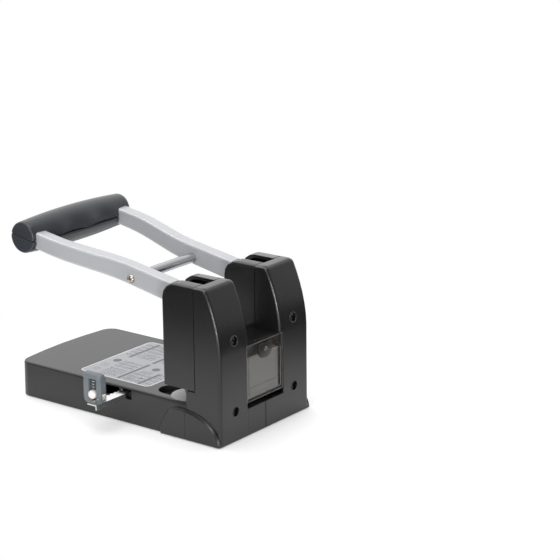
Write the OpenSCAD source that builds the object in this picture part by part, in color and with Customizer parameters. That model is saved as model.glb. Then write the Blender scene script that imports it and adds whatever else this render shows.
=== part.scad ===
// Heavy-duty two-hole lever punch for stacks of about 100 sheets.
// X runs across the machine, -Y points to the operator and +Z is up.
// The origin lies on the resting plane, midway between the two punches.

/* [Body] */
// Width of the platform and of the towers together
body_w = 120; // [114:0.5:130]
// From the punch line to the foremost point of the platform
platform_d = 184; // [165:0.1:200]
// How far the platform's front edge bows out
front_bow = 3.2; // [1:0.1:6]
// From the punch line to the rear face
rear_d = 48.3; // [46:0.1:56]
// Height of the paper platform
platform_h = 31.7; // [30:0.1:36]
// Radius of the two front corners in plan
corner_r = 12; // [6:0.5:18]
// Radius along the upper rim of the platform
rim_r = 1.5; // [0.8:0.1:2]
// Wall of every moulded cover
wall = 2.5; // [2:0.1:2.8]
// How far the arched foot bosses stand out at the sides
boss_out = 2.6; // [2:0.1:5]
// Height of the foot bosses
boss_h = 27; // [22:0.1:29]
// Reach of the foot bosses from their crown to the front
boss_front = 21.5; // [18:0.1:26]
// Reach of the foot bosses from their crown to the rear
boss_rear = 43.5; // [38:0.1:46]

/* [Towers] */
// Height of the towers
tower_h = 133; // [128:0.1:142]
// Width of the gap between the towers
gap_w = 42.5; // [38:0.1:46]
// From the punch line to the front face of a tower
tower_front = 12.9; // [12:0.1:16]
// From the punch line back to the joint between front and rear cover
seam_y = 21.3; // [20.5:0.1:24]
// Radius over the front top edge of a tower
brow_r = 14; // [9:0.1:15]
// Radius of the upright edges
edge_r = 3; // [2:0.1:4]
// Radius along the top edges
top_r = 3; // [2:0.1:4]
// How far the rear face leans in at the top
lean = 15; // [9:0.1:17]
// Height of the part of the rear face that leans in
lean_h = 56; // [45:1:62]
// Clearance at each side of a lever arm in its slot
slot_gap = 1.2; // [0.8:0.1:1.8]

/* [Throat] */
// Clear height for the paper stack
throat_h = 12.3; // [11:0.1:14]
// From the punch line back to the paper stop
backstop = 12; // [10:0.1:12.6]
// Distance between the two holes
hole_pitch = 80; // [78:0.5:82]
// Outer radius of a hollow punch
tube_r = 5; // [4.6:0.1:5.4]
// Radius of the punched hole
hole_r = 3; // [2.5:0.1:3.4]
// Radius of a cutting disc
disc_r = 16.8; // [15:0.1:17.4]
// Thickness of a cutting disc
disc_t = 4.5; // [3.5:0.1:5.5]
// Radius of the finger scoop in front of a disc
scoop_r = 11.3; // [9:0.1:12]
// From the punch line to the centre of the scoop's round end
scoop_y = 20.5; // [18:0.1:23]

/* [Lever] */
// From the top of the towers down to the lever's pivot
pivot_drop = 19.5; // [17:0.1:21]
// Radius of the pivot shafts
pivot_r = 5; // [4:0.1:5.4]
// Crank radius from the pivot to the drive pin
crank_r = 17; // [16:0.1:18]
// Swing of the lever from closed to open, in degrees
swing = 65; // [60:1:66]
// Rise of the closed lever towards the grip, in degrees
arm_slope = 10.2; // [9:0.1:11]
// From the pivot to the axis of the grip
arm_len = 185; // [175:0.5:195]
// Thickness of an arm
arm_t = 13; // [11:0.1:14]
// Depth of an arm at the towers
arm_root_h = 17.8; // [16:0.1:18]
// Depth of an arm at the grip
arm_tip_h = 14.8; // [13:0.1:16]
// Sideways step that spreads each arm towards the grip
arm_step = 12.5; // [9:0.1:14]
// Rounding along the arms' edges
arm_edge = 2.4; // [1.5:0.1:3]
// Radius of the rod between the arms
rod_r = 4.4; // [3.5:0.1:5]
// From the pivot to the rod
rod_along = 73.7; // [66:0.1:80]
// Radius of the drive pins
drive_r = 3.5; // [3:0.1:3.8]

/* [Grip] */
// Length of the grip
grip_len = 126; // [120:0.5:134]
// Radius of the grip at its ends
grip_end_r = 13.6; // [12:0.1:14.5]
// Radius of the grip in the middle
grip_mid_r = 16.2; // [15:0.1:17.5]
// Wall of the two grip shells
grip_wall = 3; // [2.5:0.1:3.5]
// Radius of the steel tube inside the grip
grip_tube_r = 5; // [4:0.1:6]

/* [Paper guide] */
// How far the rail stands out of the side
rail_out = 39.5; // [35:0.1:50]
// Length of the rail
rail_len = 142; // [130:1:150]
// Width of the rail over its teeth
rail_w = 10; // [9:0.1:11]
// Height of the rail's upper face
rail_z = 28; // [27:0.1:28.6]
// Spacing of the rail's teeth
tooth_pitch = 5; // [4:0.5:6]
// From the punch line to the rail's rear edge
rail_y = 52.2; // [50:0.1:58]
// From the rail's free end to the outer face of the stop
stop_back = 16; // [14:0.1:18]
// Thickness of the stop
stop_t = 7.5; // [7:0.1:9]
// Width of the stop
stop_w = 21.9; // [20:0.1:24]
// Height of the stop's top
stop_top = 47.6; // [42:0.1:50]
// Radius of the release button
button_r = 3.8; // [3:0.1:4]

/* [Chip bin] */
// Width of the bay for the chip bin
bay_w = 49.2; // [47:0.1:51]
// Height of the bin's upper edge
bin_top = 78.3; // [74:0.1:84]
// Height of the sill under the bin
sill_z = 24.2; // [22:0.1:25]
// Finger gap between the sill and the window
bin_gap = 5; // [4:0.1:7]
// Thickness of the smoked window
window_t = 2.5; // [2:0.1:3]

/* [Label] */
// Width of the instruction plate
label_w = 95; // [80:1:104]
// Depth of the instruction plate
label_d = 79; // [60:1:84]
// From the punch line to the plate's rear edge
label_y = 40.7; // [38:0.1:44]

/* [Hidden] */

$fn = 64;
LEFT = -1;
RIGHT = 1;
eps = 0.01;
level_t = 0.2;       // thickness of the thin levels that a rounded form is drawn over
fit = 0.05;          // radial clearance of a running fit
seat = 0.3;          // clearance between parts that drop into each other
seam = 0.3;          // joint between two covers
black = "#2c2c2e";
steel = "#9a9c9f";
silver = "#b4b5b8";

half_w = body_w / 2;
gap_x = gap_w / 2;
bay_x = bay_w / 2;
pivot_z = tower_h - pivot_drop;
lean_z = tower_h - lean_h;
base_rear = backstop - seam;
pin_x = hole_pitch / 2;
throat_top = platform_h + throat_h;
skirt_z = 0.8;       // lower edge of the covers' walls
mat_t = 1.2;
floor_t = 2.5;
floor_top = mat_t + floor_t;
low_rear_z = throat_top - 1;   // the rear cover steps forward below this height

// Lever geometry: the drive pin swings evenly about the level through the pivot
half_swing = swing / 2;
pivot_y = crank_r * cos(half_swing / 2);
drive_y = pivot_y - crank_r * cos(half_swing);
drive_z = pivot_z - crank_r * sin(half_swing);
drive_low = pivot_y - crank_r;
stroke = 2 * crank_r * sin(half_swing);
crank_a = half_swing + arm_slope;
crank = [-crank_r * cos(crank_a), -crank_r * sin(crank_a)];
crank_plate_t = 2.2;
plate_gap = 0.1;
cheek_t = 3;
cheek_gap = 0.6;
cheek_in = arm_t / 2 + plate_gap + crank_plate_t + cheek_gap;
frame_w = 2 * (cheek_in + cheek_t);
frame_front = 9;
frame_top = pivot_z + 10.5;
web_y = pivot_y + 10;
frame_foot_z = 21;

// Punch head and tube
head_w = arm_t - 1.4;
head_below = drive_r + 4.5;
head_above = drive_r + 2.5;
head_y0 = drive_low - drive_r - 2;
head_y1 = drive_y + drive_r + 2;
drive_slot_r = drive_r + 0.35;   // cross slot in the head, in which the drive pin wanders
tube_socket = 3;
tube_foot = platform_h + 0.05;
guide_z0 = throat_top + wall + seat + 0.2;
guide_top = guide_z0 + 17;
spring_top = drive_z - head_below;

// Wells and discs; the frame's column stands behind the wells
disc_top = platform_h - 0.2;
well_floor = disc_top - disc_t;
well_r = disc_r + 0.35;
well_wall = 2;
well_under = 22;
scoop_floor = 25.4;
column_y = max(backstop + wall, sqrt(pow(well_r + well_wall, 2) - cheek_in * cheek_in)) + seat;

// Cover screws
screw_low_z = 26.5;
screw_high_z = 87.5;
screw_hole_r = 4.1;
screw_head_r = 3.7;
screw_shank_r = 2;
screw_seat_y = rear_d - 10;

// Paper guide places
rail_end = half_w + rail_out;
rail_front = -rail_y - rail_w;
rail_t = 1;
tooth_d = 1.8;
stop_face = rail_end - stop_back;
stop_y1 = rail_front - seat;
stop_y0 = stop_y1 - stop_w;
stop_low = 20.5;
stop_slot_w = 2 * button_r + 0.9;
stop_slot_y = stop_y1 - 5.2 - stop_slot_w / 2;
stop_cap_z = stop_top - 4;
stop_back_t = 2;     // wall behind the stop's slot
button_z = rail_z + 0.8;
button_lift = 4;
guide_slot_y0 = stop_y0 - 2.3;
guide_slot_y1 = -rail_y + 3.5;
guide_slot_z0 = 22;
guide_slot_z1 = platform_h - 1.3;

// Grip place
grip_y = pivot_y - arm_len * cos(arm_slope);
grip_z = pivot_z + arm_len * sin(arm_slope);
arm_tip_x = pin_x + arm_step;

// ---- helpers ----

module side(s) {
    mirror([s < 0 ? 1 : 0, 0, 0]) children();
}

// Puts children that are drawn about the pivot, with the arm along -Y, in place
module on_lever() {
    translate([0, pivot_y, pivot_z]) rotate([-arm_slope, 0, 0]) children();
}

// Cylinder along X from x0 to x1
module bar_x(r, x0, x1, y, z) {
    translate([x0, y, z]) rotate([0, 90, 0]) cylinder(r = r, h = x1 - x0);
}

// Outline in the Y-Z plane, drawn as [y, z], extruded along X from x0 to x1
module slab_x(x0, x1) {
    translate([x0, 0, 0]) rotate([90, 0, 90]) linear_extrude(x1 - x0) children();
}

module box(lo, hi) {
    translate(lo) cube(hi - lo);
}

// Skins closed rings of points into one solid
module loft(rings) {
    n = len(rings[0]);
    m = len(rings);
    sides = [for (i = [0 : m - 2], j = [0 : n - 1], k = [0, 1])
        let (a = i * n + j, b = i * n + (j + 1) % n)
            k == 0 ? [a, a + n, b] : [b, a + n, b + n]];
    caps = [[for (j = [0 : n - 1]) j], [for (j = [n - 1 : -1 : 0]) (m - 1) * n + j]];
    polyhedron(points = [for (r = rings, p = r) p], faces = concat(sides, caps));
}

// Compression spring standing on z0, with its wire's centre line at radius r
module coil(r, wire, z0, z1, turns) {
    steps = 8;
    rise = (z1 - z0 - 2 * wire) / (turns * steps);
    rings = [for (i = [turns * steps : -1 : 0])
        let (a = i * 360 / steps, z = z0 + wire + i * rise)
            [for (j = [0 : 5]) let (b = j * 60)
                [(r + wire * cos(b)) * cos(a), (r + wire * cos(b)) * sin(a), z + wire * sin(b)]]];
    loft(rings);
}

// ---- platform ----

// Outline with two round front corners, a bowed front edge and a straight rear end
module bowed_plan(inset, r, rear) {
    y0 = -platform_d + inset;
    x1 = half_w - inset;
    hull() {
        for (t = [-1 : 0.5 : 1])
            translate([t * (x1 - r), y0 + front_bow * t * t + r]) circle(r, $fn = 48);
        translate([-x1, rear - 1]) square([2 * x1, 1]);
    }
}

module platform_plan(inset) {
    bowed_plan(inset, corner_r - inset / 2, base_rear);
}

// Platform block whose rim is rounded by three thin levels
module platform_block() {
    draft = 0.8;
    hull() {
        translate([0, 0, skirt_z]) linear_extrude(level_t) platform_plan(0);
        for (a = [0, 45, 90])
            translate([0, 0, platform_h - rim_r + rim_r * sin(a) - level_t]) linear_extrude(level_t)
                platform_plan(draft / 2 + rim_r * (1 - cos(a)));
    }
}

// Arched boss that carries each side of the body down to the table
module foot_boss() {
    crown_y = rear_d - boss_rear + 0.2;
    rounding = 1.6;
    root = half_w - wall + 0.4;
    face = half_w + boss_out;
    hull()
        for (step = [[root, 0], [face - rounding, 0], [face - level_t, rounding]])
            slab_x(step[0], step[0] + level_t) intersection() {
                translate([crown_y, 0]) polygon([for (a = [0 : 7.5 : 180])
                    [((a < 90 ? boss_rear : boss_front) - step[1]) * cos(a), (boss_h - step[1]) * sin(a)]]);
                translate([-platform_d, skirt_z + 0.1]) square([platform_d + rear_d, boss_h]);
            }
}

module die_outline(grow) {
    circle(well_r + grow);
    hull() {
        translate([0, -scoop_y]) circle(scoop_r + grow);
        circle(scoop_r + grow);
    }
}

module base_housing() {
    color(black)
    difference() {
        union() {
            difference() {
                platform_block();
                translate([0, 0, -1]) linear_extrude(platform_h - wall + 1) platform_plan(wall);
                box([-half_w + wall, base_rear - 3, -1], [half_w - wall, base_rear + 1, platform_h - wall]);
            }
            for (s = [LEFT, RIGHT]) {
                side(s) intersection() {
                    foot_boss();
                    box([half_w - wall, -platform_d, 0], [half_w + boss_out + 1, base_rear, boss_h + 1]);
                }
                translate([s * pin_x, 0, well_under]) linear_extrude(platform_h - well_under - rim_r)
                    die_outline(well_wall);
            }
            // Ribs that guide the rail and stiffen the platform
            for (y = [rail_front - seat - wall, -rail_y + seat])
                box([0, y, guide_slot_z0 - 2], [half_w - wall - eps, y + wall, platform_h - wall + eps]);
            for (x = [-28, 0])
                box([x, -platform_d + 12, 12], [x + 2, stop_y0 - 8, platform_h - wall + eps]);
        }
        for (s = [LEFT, RIGHT]) translate([s * pin_x, 0, 0]) {
            translate([0, 0, well_floor]) cylinder(r = well_r, h = platform_h);
            translate([0, 0, scoop_floor]) linear_extrude(platform_h) hull() {
                translate([0, -scoop_y]) circle(scoop_r);
                translate([0, -well_r + scoop_r - 1]) circle(scoop_r);
            }
        }
        box([half_w - wall - 1, guide_slot_y0, guide_slot_z0],
            [half_w + 1, guide_slot_y1, guide_slot_z1]);
        translate([0, 0, platform_h - 0.6]) linear_extrude(1) label_outline(seat / 2);
    }
}

module label_outline(grow) {
    r = 5;
    translate([0, -label_y - label_d / 2]) offset(r + grow)
        square([label_w - 2 * r, label_d - 2 * r], center = true);
}

module label_plate() {
    color("#b8babf") translate([0, 0, platform_h - 0.6]) linear_extrude(0.5) label_outline(0);
}

module floor_plan(inset) {
    bowed_plan(inset, corner_r - inset + wall / 2, rear_d - inset);
}

module bottom_cover() {
    color("#252527") translate([0, 0, mat_t]) linear_extrude(floor_t) floor_plan(wall + seat);
}

module rubber_mat() {
    color("#1b1b1c") linear_extrude(mat_t) floor_plan(wall + 2);
}

// ---- tower covers ----

function top_inset(z) = z > tower_h - top_r
    ? top_r - sqrt(top_r * top_r - pow(z - tower_h + top_r, 2)) : 0;

function rear_face(z) = rear_d - lean * pow(max(0, (z - lean_z) / (tower_h - lean_z)), 1.8);

function front_face(z) = z > tower_h - brow_r
    ? -tower_front + brow_r - sqrt(max(0, brow_r * brow_r - pow(z - tower_h + brow_r, 2)))
    : -tower_front;

module corner_post(r) {
    if (r > 0.6) cylinder(r = r, h = level_t, $fn = 24);
    else translate([-r, -r, 0]) cube([2 * r, 2 * r, level_t]);
}

// Plan of a tower at one height, with round corners of radius r0 at y0 and r1 at y1
module tower_level(x0, x1, y0, y1, r0, r1, z) {
    translate([0, 0, z]) for (x = [x0, x1]) {
        turn = x == x0 ? 1 : -1;
        translate([x + turn * r0, y0 + r0, 0]) corner_post(r0);
        translate([x + turn * r1, y1 - r1, 0]) corner_post(r1);
    }
}

// Front tower form, shrunk by w on every closed side
module front_form(w) {
    levels = concat([throat_top + w, tower_h - brow_r],
        [for (a = [22.5 : 22.5 : 90]) tower_h - brow_r + brow_r * sin(a)]);
    hull() for (z = levels) {
        inset = top_inset(z);
        r = max(0.5, edge_r - w);
        tower_level(gap_x + w + inset, half_w - w - inset, front_face(z) + w,
            seam_y + (w > 0 ? 2 : 0), r, 0.2, z - (z > throat_top + w ? w + level_t : 0));
    }
}

// Rear tower form from the table up, shrunk by w on every closed side
module rear_form(w) {
    levels = concat([w > 0 ? -1 : skirt_z], [for (i = [0 : 6]) lean_z + (tower_h - top_r - lean_z) * i / 6],
        [for (a = [30, 60, 90]) tower_h - top_r + top_r * sin(a)]);
    hull() for (z = levels) {
        inset = top_inset(z);
        r = max(0.5, edge_r - w);
        tower_level(gap_x + w + inset, half_w - w - inset, backstop + w, rear_face(z) - w - inset,
            0.2, r, z - (z > lean_z ? w + level_t : 0));
    }
}

arm_slot_z = pivot_z + (pivot_y + tower_front - wall) * tan(arm_slope)
    - arm_root_h / 2 / cos(arm_slope) - slot_gap;

// Way for the lever arm through the front and the top of a tower
module arm_slot() {
    box([pin_x - arm_t / 2 - slot_gap, -tower_front - 1, arm_slot_z],
        [pin_x + arm_t / 2 + slot_gap, seam_y + 1.7, tower_h + 1]);
}

module front_shell(s) {
    color(black) side(s) difference() {
        front_form(0);
        front_form(wall);
        arm_slot();
        translate([pin_x, 0, throat_top - 1]) cylinder(r = tube_r + 0.6, h = wall + 2);
        box([pin_x - frame_w / 2 - seat, column_y - seat, throat_top - 1],
            [pin_x + frame_w / 2 + seat, seam_y + 1, throat_top + wall + 0.5]);
    }
}

module rear_cover(s) {
    color(black) side(s) difference() {
        union() {
            difference() {
                union() {
                    rear_form(0);
                    box([seam / 2, backstop, skirt_z], [gap_x + 0.8 * edge_r, rear_d, sill_z]);
                    intersection() {
                        foot_boss();
                        box([half_w - wall, backstop, 0], [half_w + boss_out + 1, rear_d, boss_h + 1]);
                    }
                }
                rear_form(wall);
                box([-1, backstop + wall, -1], [gap_x + 3, rear_d - wall, sill_z - wall]);
                box([-1, backstop - 1, -1], [half_w - wall, backstop + wall + 1, platform_h + 0.2]);
                box([gap_x - 1, backstop - 1, -1], [gap_x + wall + 1, rear_d - wall, platform_h + 0.2 - 8]);
                box([gap_x - 1, backstop - 1, low_rear_z], [half_w + 1, bay_y, tower_h + 1]);
                box([gap_x - 1, bay_y - 0.1, sill_z + 0.1], [bay_x + 0.1, rear_d + 1, bin_top + seat]);
                arm_slot();
            }
            for (z = [screw_low_z, screw_high_z])
                translate([pin_x, web_y + cheek_t, z]) rotate([-90, 0, 0])
                    cylinder(r = screw_hole_r + 2, h = rear_face(z) - wall - web_y - cheek_t + eps);
        }
        for (z = [screw_low_z, screw_high_z]) translate([pin_x, 0, z]) rotate([-90, 0, 0]) {
            translate([0, 0, screw_seat_y]) cylinder(r = screw_hole_r, h = 20);
            cylinder(r = screw_shank_r + 0.2, h = rear_d);
        }
    }
}

bay_y = seam_y + seam;
bay_wall = 2;

// Black cover between the towers: paper stop in front, chip bay open to the rear
module bridge_cover() {
    x0 = gap_x - 0.1;
    x1 = bay_x - 0.1;
    color(black) difference() {
        union() {
            box([-x0, backstop, platform_h + 0.1], [x0, seam_y + wall, bin_top]);
            box([-x1, bay_y, platform_h + 0.1], [x1, rear_d - 6, bin_top]);
        }
        box([-x0 + bay_wall, backstop + wall, platform_h - 1], [x0 - bay_wall, rear_d, bin_top - wall]);
        box([-x1 + bay_wall, bay_y + bay_wall, platform_h - 1], [x1 - bay_wall, rear_d, bin_top - wall]);
    }
}

module cover_screws() {
    color("#3a3a3c") for (s = [LEFT, RIGHT], z = [screw_low_z, screw_high_z])
        translate([s * pin_x, screw_seat_y, z]) rotate([-90, 0, 0]) difference() {
            union() {
                cylinder(r = screw_head_r, h = 2.6);
                translate([0, 0, web_y - screw_seat_y + 0.5])
                    cylinder(r = screw_shank_r, h = screw_seat_y - web_y);
            }
            translate([0, 0, 1.4]) for (a = [0, 90]) rotate(a)
                cube([4.6, 0.9, 3], center = true);
        }
}

// ---- steel frame and punching parts ----

// One cheek of the C-shaped frame: foot under the disc, column, and head over the throat
module c_profile() {
    difference() {
        polygon([[-28, floor_top], [web_y + cheek_t, floor_top], [web_y + cheek_t, frame_top],
            [frame_front - 4, frame_top], [-frame_front, frame_top - 12],
            [-frame_front, guide_z0], [column_y, guide_z0], [column_y, frame_foot_z],
            [-22, frame_foot_z], [-28, frame_foot_z - 6]]);
        translate([(column_y + web_y + cheek_t) / 2, (throat_top + pivot_z) / 2]) circle(3.5);
    }
}

module c_frame(s) {
    color(steel) side(s) difference() {
        union() {
            for (x = [pin_x - cheek_in - cheek_t, pin_x + cheek_in])
                slab_x(x, x + cheek_t) c_profile();
            box([pin_x - frame_w / 2, web_y, floor_top], [pin_x + frame_w / 2, web_y + cheek_t, frame_top]);
        }
        bar_x(pivot_r + 0.02, pin_x - frame_w, pin_x + frame_w, pivot_y, pivot_z);
        for (z = [screw_low_z, screw_high_z])
            translate([pin_x, 0, z]) rotate([-90, 0, 0]) cylinder(r = screw_shank_r + fit, h = rear_d);
    }
}

module pivot_shafts() {
    color(silver) for (s = [LEFT, RIGHT]) side(s)
        bar_x(pivot_r, pin_x - frame_w / 2, pin_x + frame_w / 2, pivot_y, pivot_z);
}

module guide_block(s) {
    color(steel) side(s) difference() {
        box([pin_x - cheek_in, -frame_front + 0.5, guide_z0], [pin_x + cheek_in, column_y - 1, guide_top]);
        translate([pin_x, 0, guide_z0 - 1]) cylinder(r = tube_r + fit, h = guide_top);
    }
}

module anvil_blocks() {
    color(steel) for (s = [LEFT, RIGHT]) side(s)
        box([pin_x - cheek_in, -24, floor_top], [pin_x + cheek_in, column_y, well_under]);
}

module cutting_disc(s) {
    bevel = 0.6;
    color("#a3a3a5") translate([s * pin_x, 0, well_floor + fit]) rotate_extrude($fn = 96)
        polygon([[0, 0], [disc_r - bevel, 0], [disc_r, bevel], [disc_r, disc_t - bevel],
            [disc_r - bevel, disc_t], [0, disc_t]]);
}

// Hollow punch: chips rise through its bore and leave by the side window
module punch_tube(s) {
    h = spring_top + tube_socket - tube_foot;
    edge = tube_r - hole_r - 0.4;
    color(silver) side(s) translate([pin_x, 0, tube_foot]) difference() {
        rotate_extrude()
            polygon([[hole_r, 0], [hole_r + 0.4, 0], [tube_r, edge * 1.8], [tube_r, h], [hole_r, h]]);
        box([-tube_r - 1, -2, h - tube_socket - 14], [0, 2, h - tube_socket - 6]);
    }
}

module punch_head(s) {
    color(steel) side(s) difference() {
        box([pin_x - head_w / 2, head_y0, spring_top], [pin_x + head_w / 2, head_y1, drive_z + head_above]);
        for (y = [drive_low - 0.3, drive_y + 0.3])
            bar_x(drive_slot_r, pin_x - head_w, pin_x + head_w, y, drive_z);
        box([pin_x - head_w, drive_low - 0.3, drive_z - drive_slot_r],
            [pin_x + head_w, drive_y + 0.3, drive_z + drive_slot_r]);
        translate([pin_x, 0, spring_top - 1]) cylinder(r = tube_r + 0.02, h = tube_socket + 1);
    }
}

module return_spring(s) {
    color("#c4c6c8") translate([s * pin_x, 0, 0])
        coil(tube_r + 1.7, 0.8, guide_top + fit, spring_top - fit, 8);
}

// ---- lever ----

rod_head_r = 3.8;
function smooth(t) = t <= 0 ? 0 : t >= 1 ? 1 : t * t * (3 - 2 * t);
step_start = max(arm_len * 0.41, rod_along + rod_head_r + 1);
step_end = arm_len * 0.855;
function arm_x(s) = pin_x + arm_step * smooth((s - step_start) / (step_end - step_start));
function arm_h(s) = arm_root_h + (arm_tip_h - arm_root_h) * max(0, s - 40) / (arm_len - 60);

// Rounded rectangle across the arm at distance s from the pivot
function arm_ring(s) = [for (q = [0 : 3], a = [0 : 22.5 : 90])
    let (sx = q == 0 || q == 3 ? 1 : -1, sz = q < 2 ? 1 : -1, ang = q * 90 + a,
        cx = sx * (arm_t / 2 - arm_edge), cz = sz * (arm_h(s) / 2 - arm_edge))
        [arm_x(s) + cx + arm_edge * cos(ang), -s, cz + arm_edge * sin(ang)]];

arm_stations = concat([12, 40], [for (i = [0 : 12]) step_start + (step_end - step_start) * i / 12],
    [arm_len + 6]);

module arm_root() {
    slab_x(pin_x - arm_t / 2 + 0.2, pin_x + arm_t / 2 - 0.2) hull() {
        circle(pivot_r + 2.6);
        translate([-15, arm_root_h / 2 - 7]) circle(6.5);
        translate([-15, 0]) circle(6.5);
    }
}

module lever_arm(s) {
    color(silver) side(s) on_lever() difference() {
        union() {
            loft([for (d = arm_stations) arm_ring(d)]);
            arm_root();
        }
        // Room for the punch head that swings below the root
        bar_x(relief_r, pin_x - arm_t, pin_x + arm_t, crank[0], crank[1]);
        bar_x(pivot_r + fit, pin_x - arm_t, pin_x + arm_t, 0, 0);
        bar_x(2.5, pin_x - arm_t, pin_x + arm_t, -rod_along, rod_drop);
        bar_x(grip_tube_r + 0.02, pin_x - arm_t, arm_tip_x + arm_t, -arm_len, 0);
    }
}

relief_r = norm([max(head_y1 - drive_low, drive_y - head_y0), head_above]) + 0.6;
rod_drop = -2.4;

module crank_outline() {
    difference() {
        hull() {
            circle(pivot_r + 4);
            translate(crank) circle(drive_r + 3.5);
            translate([-9.5, 0]) circle(5.5);
        }
        circle(pivot_r + fit);
        translate(crank) circle(drive_r + 0.02);
    }
}

module crank_plates(s) {
    inner = arm_t / 2 + plate_gap;
    color(steel) side(s) on_lever()
        for (x = [pin_x - inner - crank_plate_t, pin_x + inner])
            slab_x(x, x + crank_plate_t) crank_outline();
}

module drive_pins() {
    reach = arm_t / 2 + plate_gap + crank_plate_t;
    color(silver) for (s = [LEFT, RIGHT]) side(s) on_lever()
        bar_x(drive_r, pin_x - reach, pin_x + reach, crank[0], crank[1]);
}

module cross_rod() {
    inner = arm_x(rod_along) - arm_t / 2;
    color(silver) on_lever() bar_x(rod_r, -inner, inner, -rod_along, rod_drop);
}

module rod_screws() {
    outer = arm_x(rod_along) + arm_t / 2;
    color("#c9cacc") for (s = [LEFT, RIGHT]) side(s) on_lever() translate([outer, -rod_along, rod_drop])
        rotate([0, 90, 0]) {
            difference() {
                rotate_extrude()
                    polygon(concat([[0, 0]], [for (a = [0 : 15 : 90]) [rod_head_r * cos(a), 2.6 * sin(a)]]));
                translate([0, 0, 1.8]) cylinder(r = 1.5, h = 3, $fn = 6);
            }
            translate([0, 0, -arm_t]) cylinder(r = 2.4, h = arm_t);
        }
}

// Crowned form of the grip, turned about X
module grip_form(shrink, half_len) {
    n = 14;
    crown = [for (i = [-n : n]) let (x = half_len * i / n)
        [grip_mid_r - shrink - (grip_mid_r - grip_end_r) * pow(2 * x / grip_len, 2), x]];
    tip = 1.8;
    outline = shrink > 0
        ? concat([[0, -half_len]], crown, [[0, half_len]])
        : concat([[0, -half_len], [crown[0][0] - tip, -half_len]],
            [for (i = [0 : 2 * n]) let (lim = half_len - tip) [crown[i][0], max(-lim, min(lim, crown[i][1]))]],
            [[crown[2 * n][0] - tip, half_len], [0, half_len]]);
    translate([0, grip_y, grip_z]) rotate([0, 90, 0]) rotate_extrude($fn = 96) polygon(outline);
}

module grip_pockets() {
    grip_form(grip_wall, arm_tip_x - arm_t / 2 - 4);
    for (s = [LEFT, RIGHT]) side(s) on_lever() {
        x0 = arm_tip_x - arm_t / 2 - seat;
        h = arm_h(arm_len) / 2 + seat;
        box([x0, -arm_len - 7, -h], [x0 + arm_t + 2 * seat, -arm_len + 2 * grip_end_r, h]);
    }
    bar_x(grip_tube_r + fit, -grip_len / 2 + 3, grip_len / 2 - 3, grip_y, grip_z);
}

module grip_half(up) {
    reach = grip_mid_r + 5;
    z0 = up > 0 ? grip_z : grip_z - reach;
    difference() {
        intersection() {
            grip_form(0, grip_len / 2);
            box([-grip_len, grip_y - reach, z0], [grip_len, grip_y + reach, z0 + reach]);
        }
        grip_pockets();
        for (x = [-grip_screw_x, grip_screw_x]) translate([x, grip_y, 0]) {
            cylinder(r = 3.2, h = grip_screw_z);
            cylinder(r = grip_screw_r + 0.1, h = grip_z - grip_tube_r - 1);
        }
    }
    // Ribs that keep the upper shell off the tube
    if (up > 0) for (x = [-grip_screw_x, grip_screw_x])
        translate([x - 4, grip_y - grip_tube_r - 5.5, grip_z]) cube([8, 3, grip_rib_h]);
}

grip_screw_x = 26;
grip_screw_r = 1.5;
grip_screw_z = grip_z - grip_mid_r + 3.2;
grip_rib_h = grip_end_r - 4;

module grip_upper() {
    color("#494c51") grip_half(1);
}

module grip_lower() {
    color("#3f4247") grip_half(-1);
}

module grip_tube() {
    reach = arm_tip_x + arm_t / 2 + 1;
    color(steel) difference() {
        bar_x(grip_tube_r, -reach, reach, grip_y, grip_z);
        bar_x(grip_tube_r - 1.5, -reach - 1, reach + 1, grip_y, grip_z);
    }
}

module grip_screws() {
    color("#3a3a3c") for (x = [-grip_screw_x, grip_screw_x]) translate([x, grip_y, grip_screw_z]) {
        translate([0, 0, -2]) cylinder(r = 2.9, h = 2);
        cylinder(r = grip_screw_r, h = grip_z - grip_tube_r - grip_screw_z - fit);
    }
}

// ---- paper guide ----

module guide_rail() {
    x0 = rail_end - rail_len;
    teeth = floor(rail_len / tooth_pitch) - 1;
    color("#d5d6d8") union() {
        translate([0, 0, rail_z - rail_t]) linear_extrude(rail_t) difference() {
            translate([x0, rail_front]) square([rail_len, rail_w]);
            for (i = [0 : teeth]) let (x = rail_end - 4 - i * tooth_pitch)
                polygon([[x, rail_front - 1], [x - tooth_pitch * 0.8, rail_front - 1],
                    [x - tooth_pitch * 0.62, rail_front + tooth_d], [x - tooth_pitch * 0.3, rail_front + tooth_d]]);
        }
        box([x0, -rail_y - rail_t, rail_z - 4.5], [rail_end, -rail_y, rail_z - rail_t / 2]);
    }
}

module guide_stop() {
    x0 = stop_face - stop_t;
    slot_y0 = stop_slot_y - stop_slot_w / 2;
    slot_y1 = stop_slot_y + stop_slot_w / 2;
    r = 2.4;
    color("#5f6f76") difference() {
        union() {
            // Each level is [height, inset]
            hull() for (level = [[stop_low, 1], [stop_low + 2, 0], [stop_top - 3.2, 0],
                    [stop_top - 1.2, 0.7], [stop_top - level_t, 2]])
                for (x = [x0 + r + level[1] / 2, stop_face - r - level[1]],
                        y = [stop_y0 + r + level[1], stop_y1 - r - level[1]])
                    translate([x, y, level[0]]) cylinder(r = r, h = level_t, $fn = 20);
            box([x0 + 0.5, stop_y1 - 3, guide_slot_z0 + 0.6],
                [stop_face - 0.5, -rail_y - rail_t - seat, rail_z - rail_t - 0.2]);
        }
        box([x0 + stop_back_t, slot_y0, guide_slot_z0 + 1], [stop_face + 1, slot_y1, stop_cap_z]);
        box([x0 + stop_back_t - 0.2, slot_y1 - 1, rail_z + 0.1],
            [x0 + stop_back_t + 3.4, stop_y1 + 1, rail_z + button_lift + 2.6]);
    }
}

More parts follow.
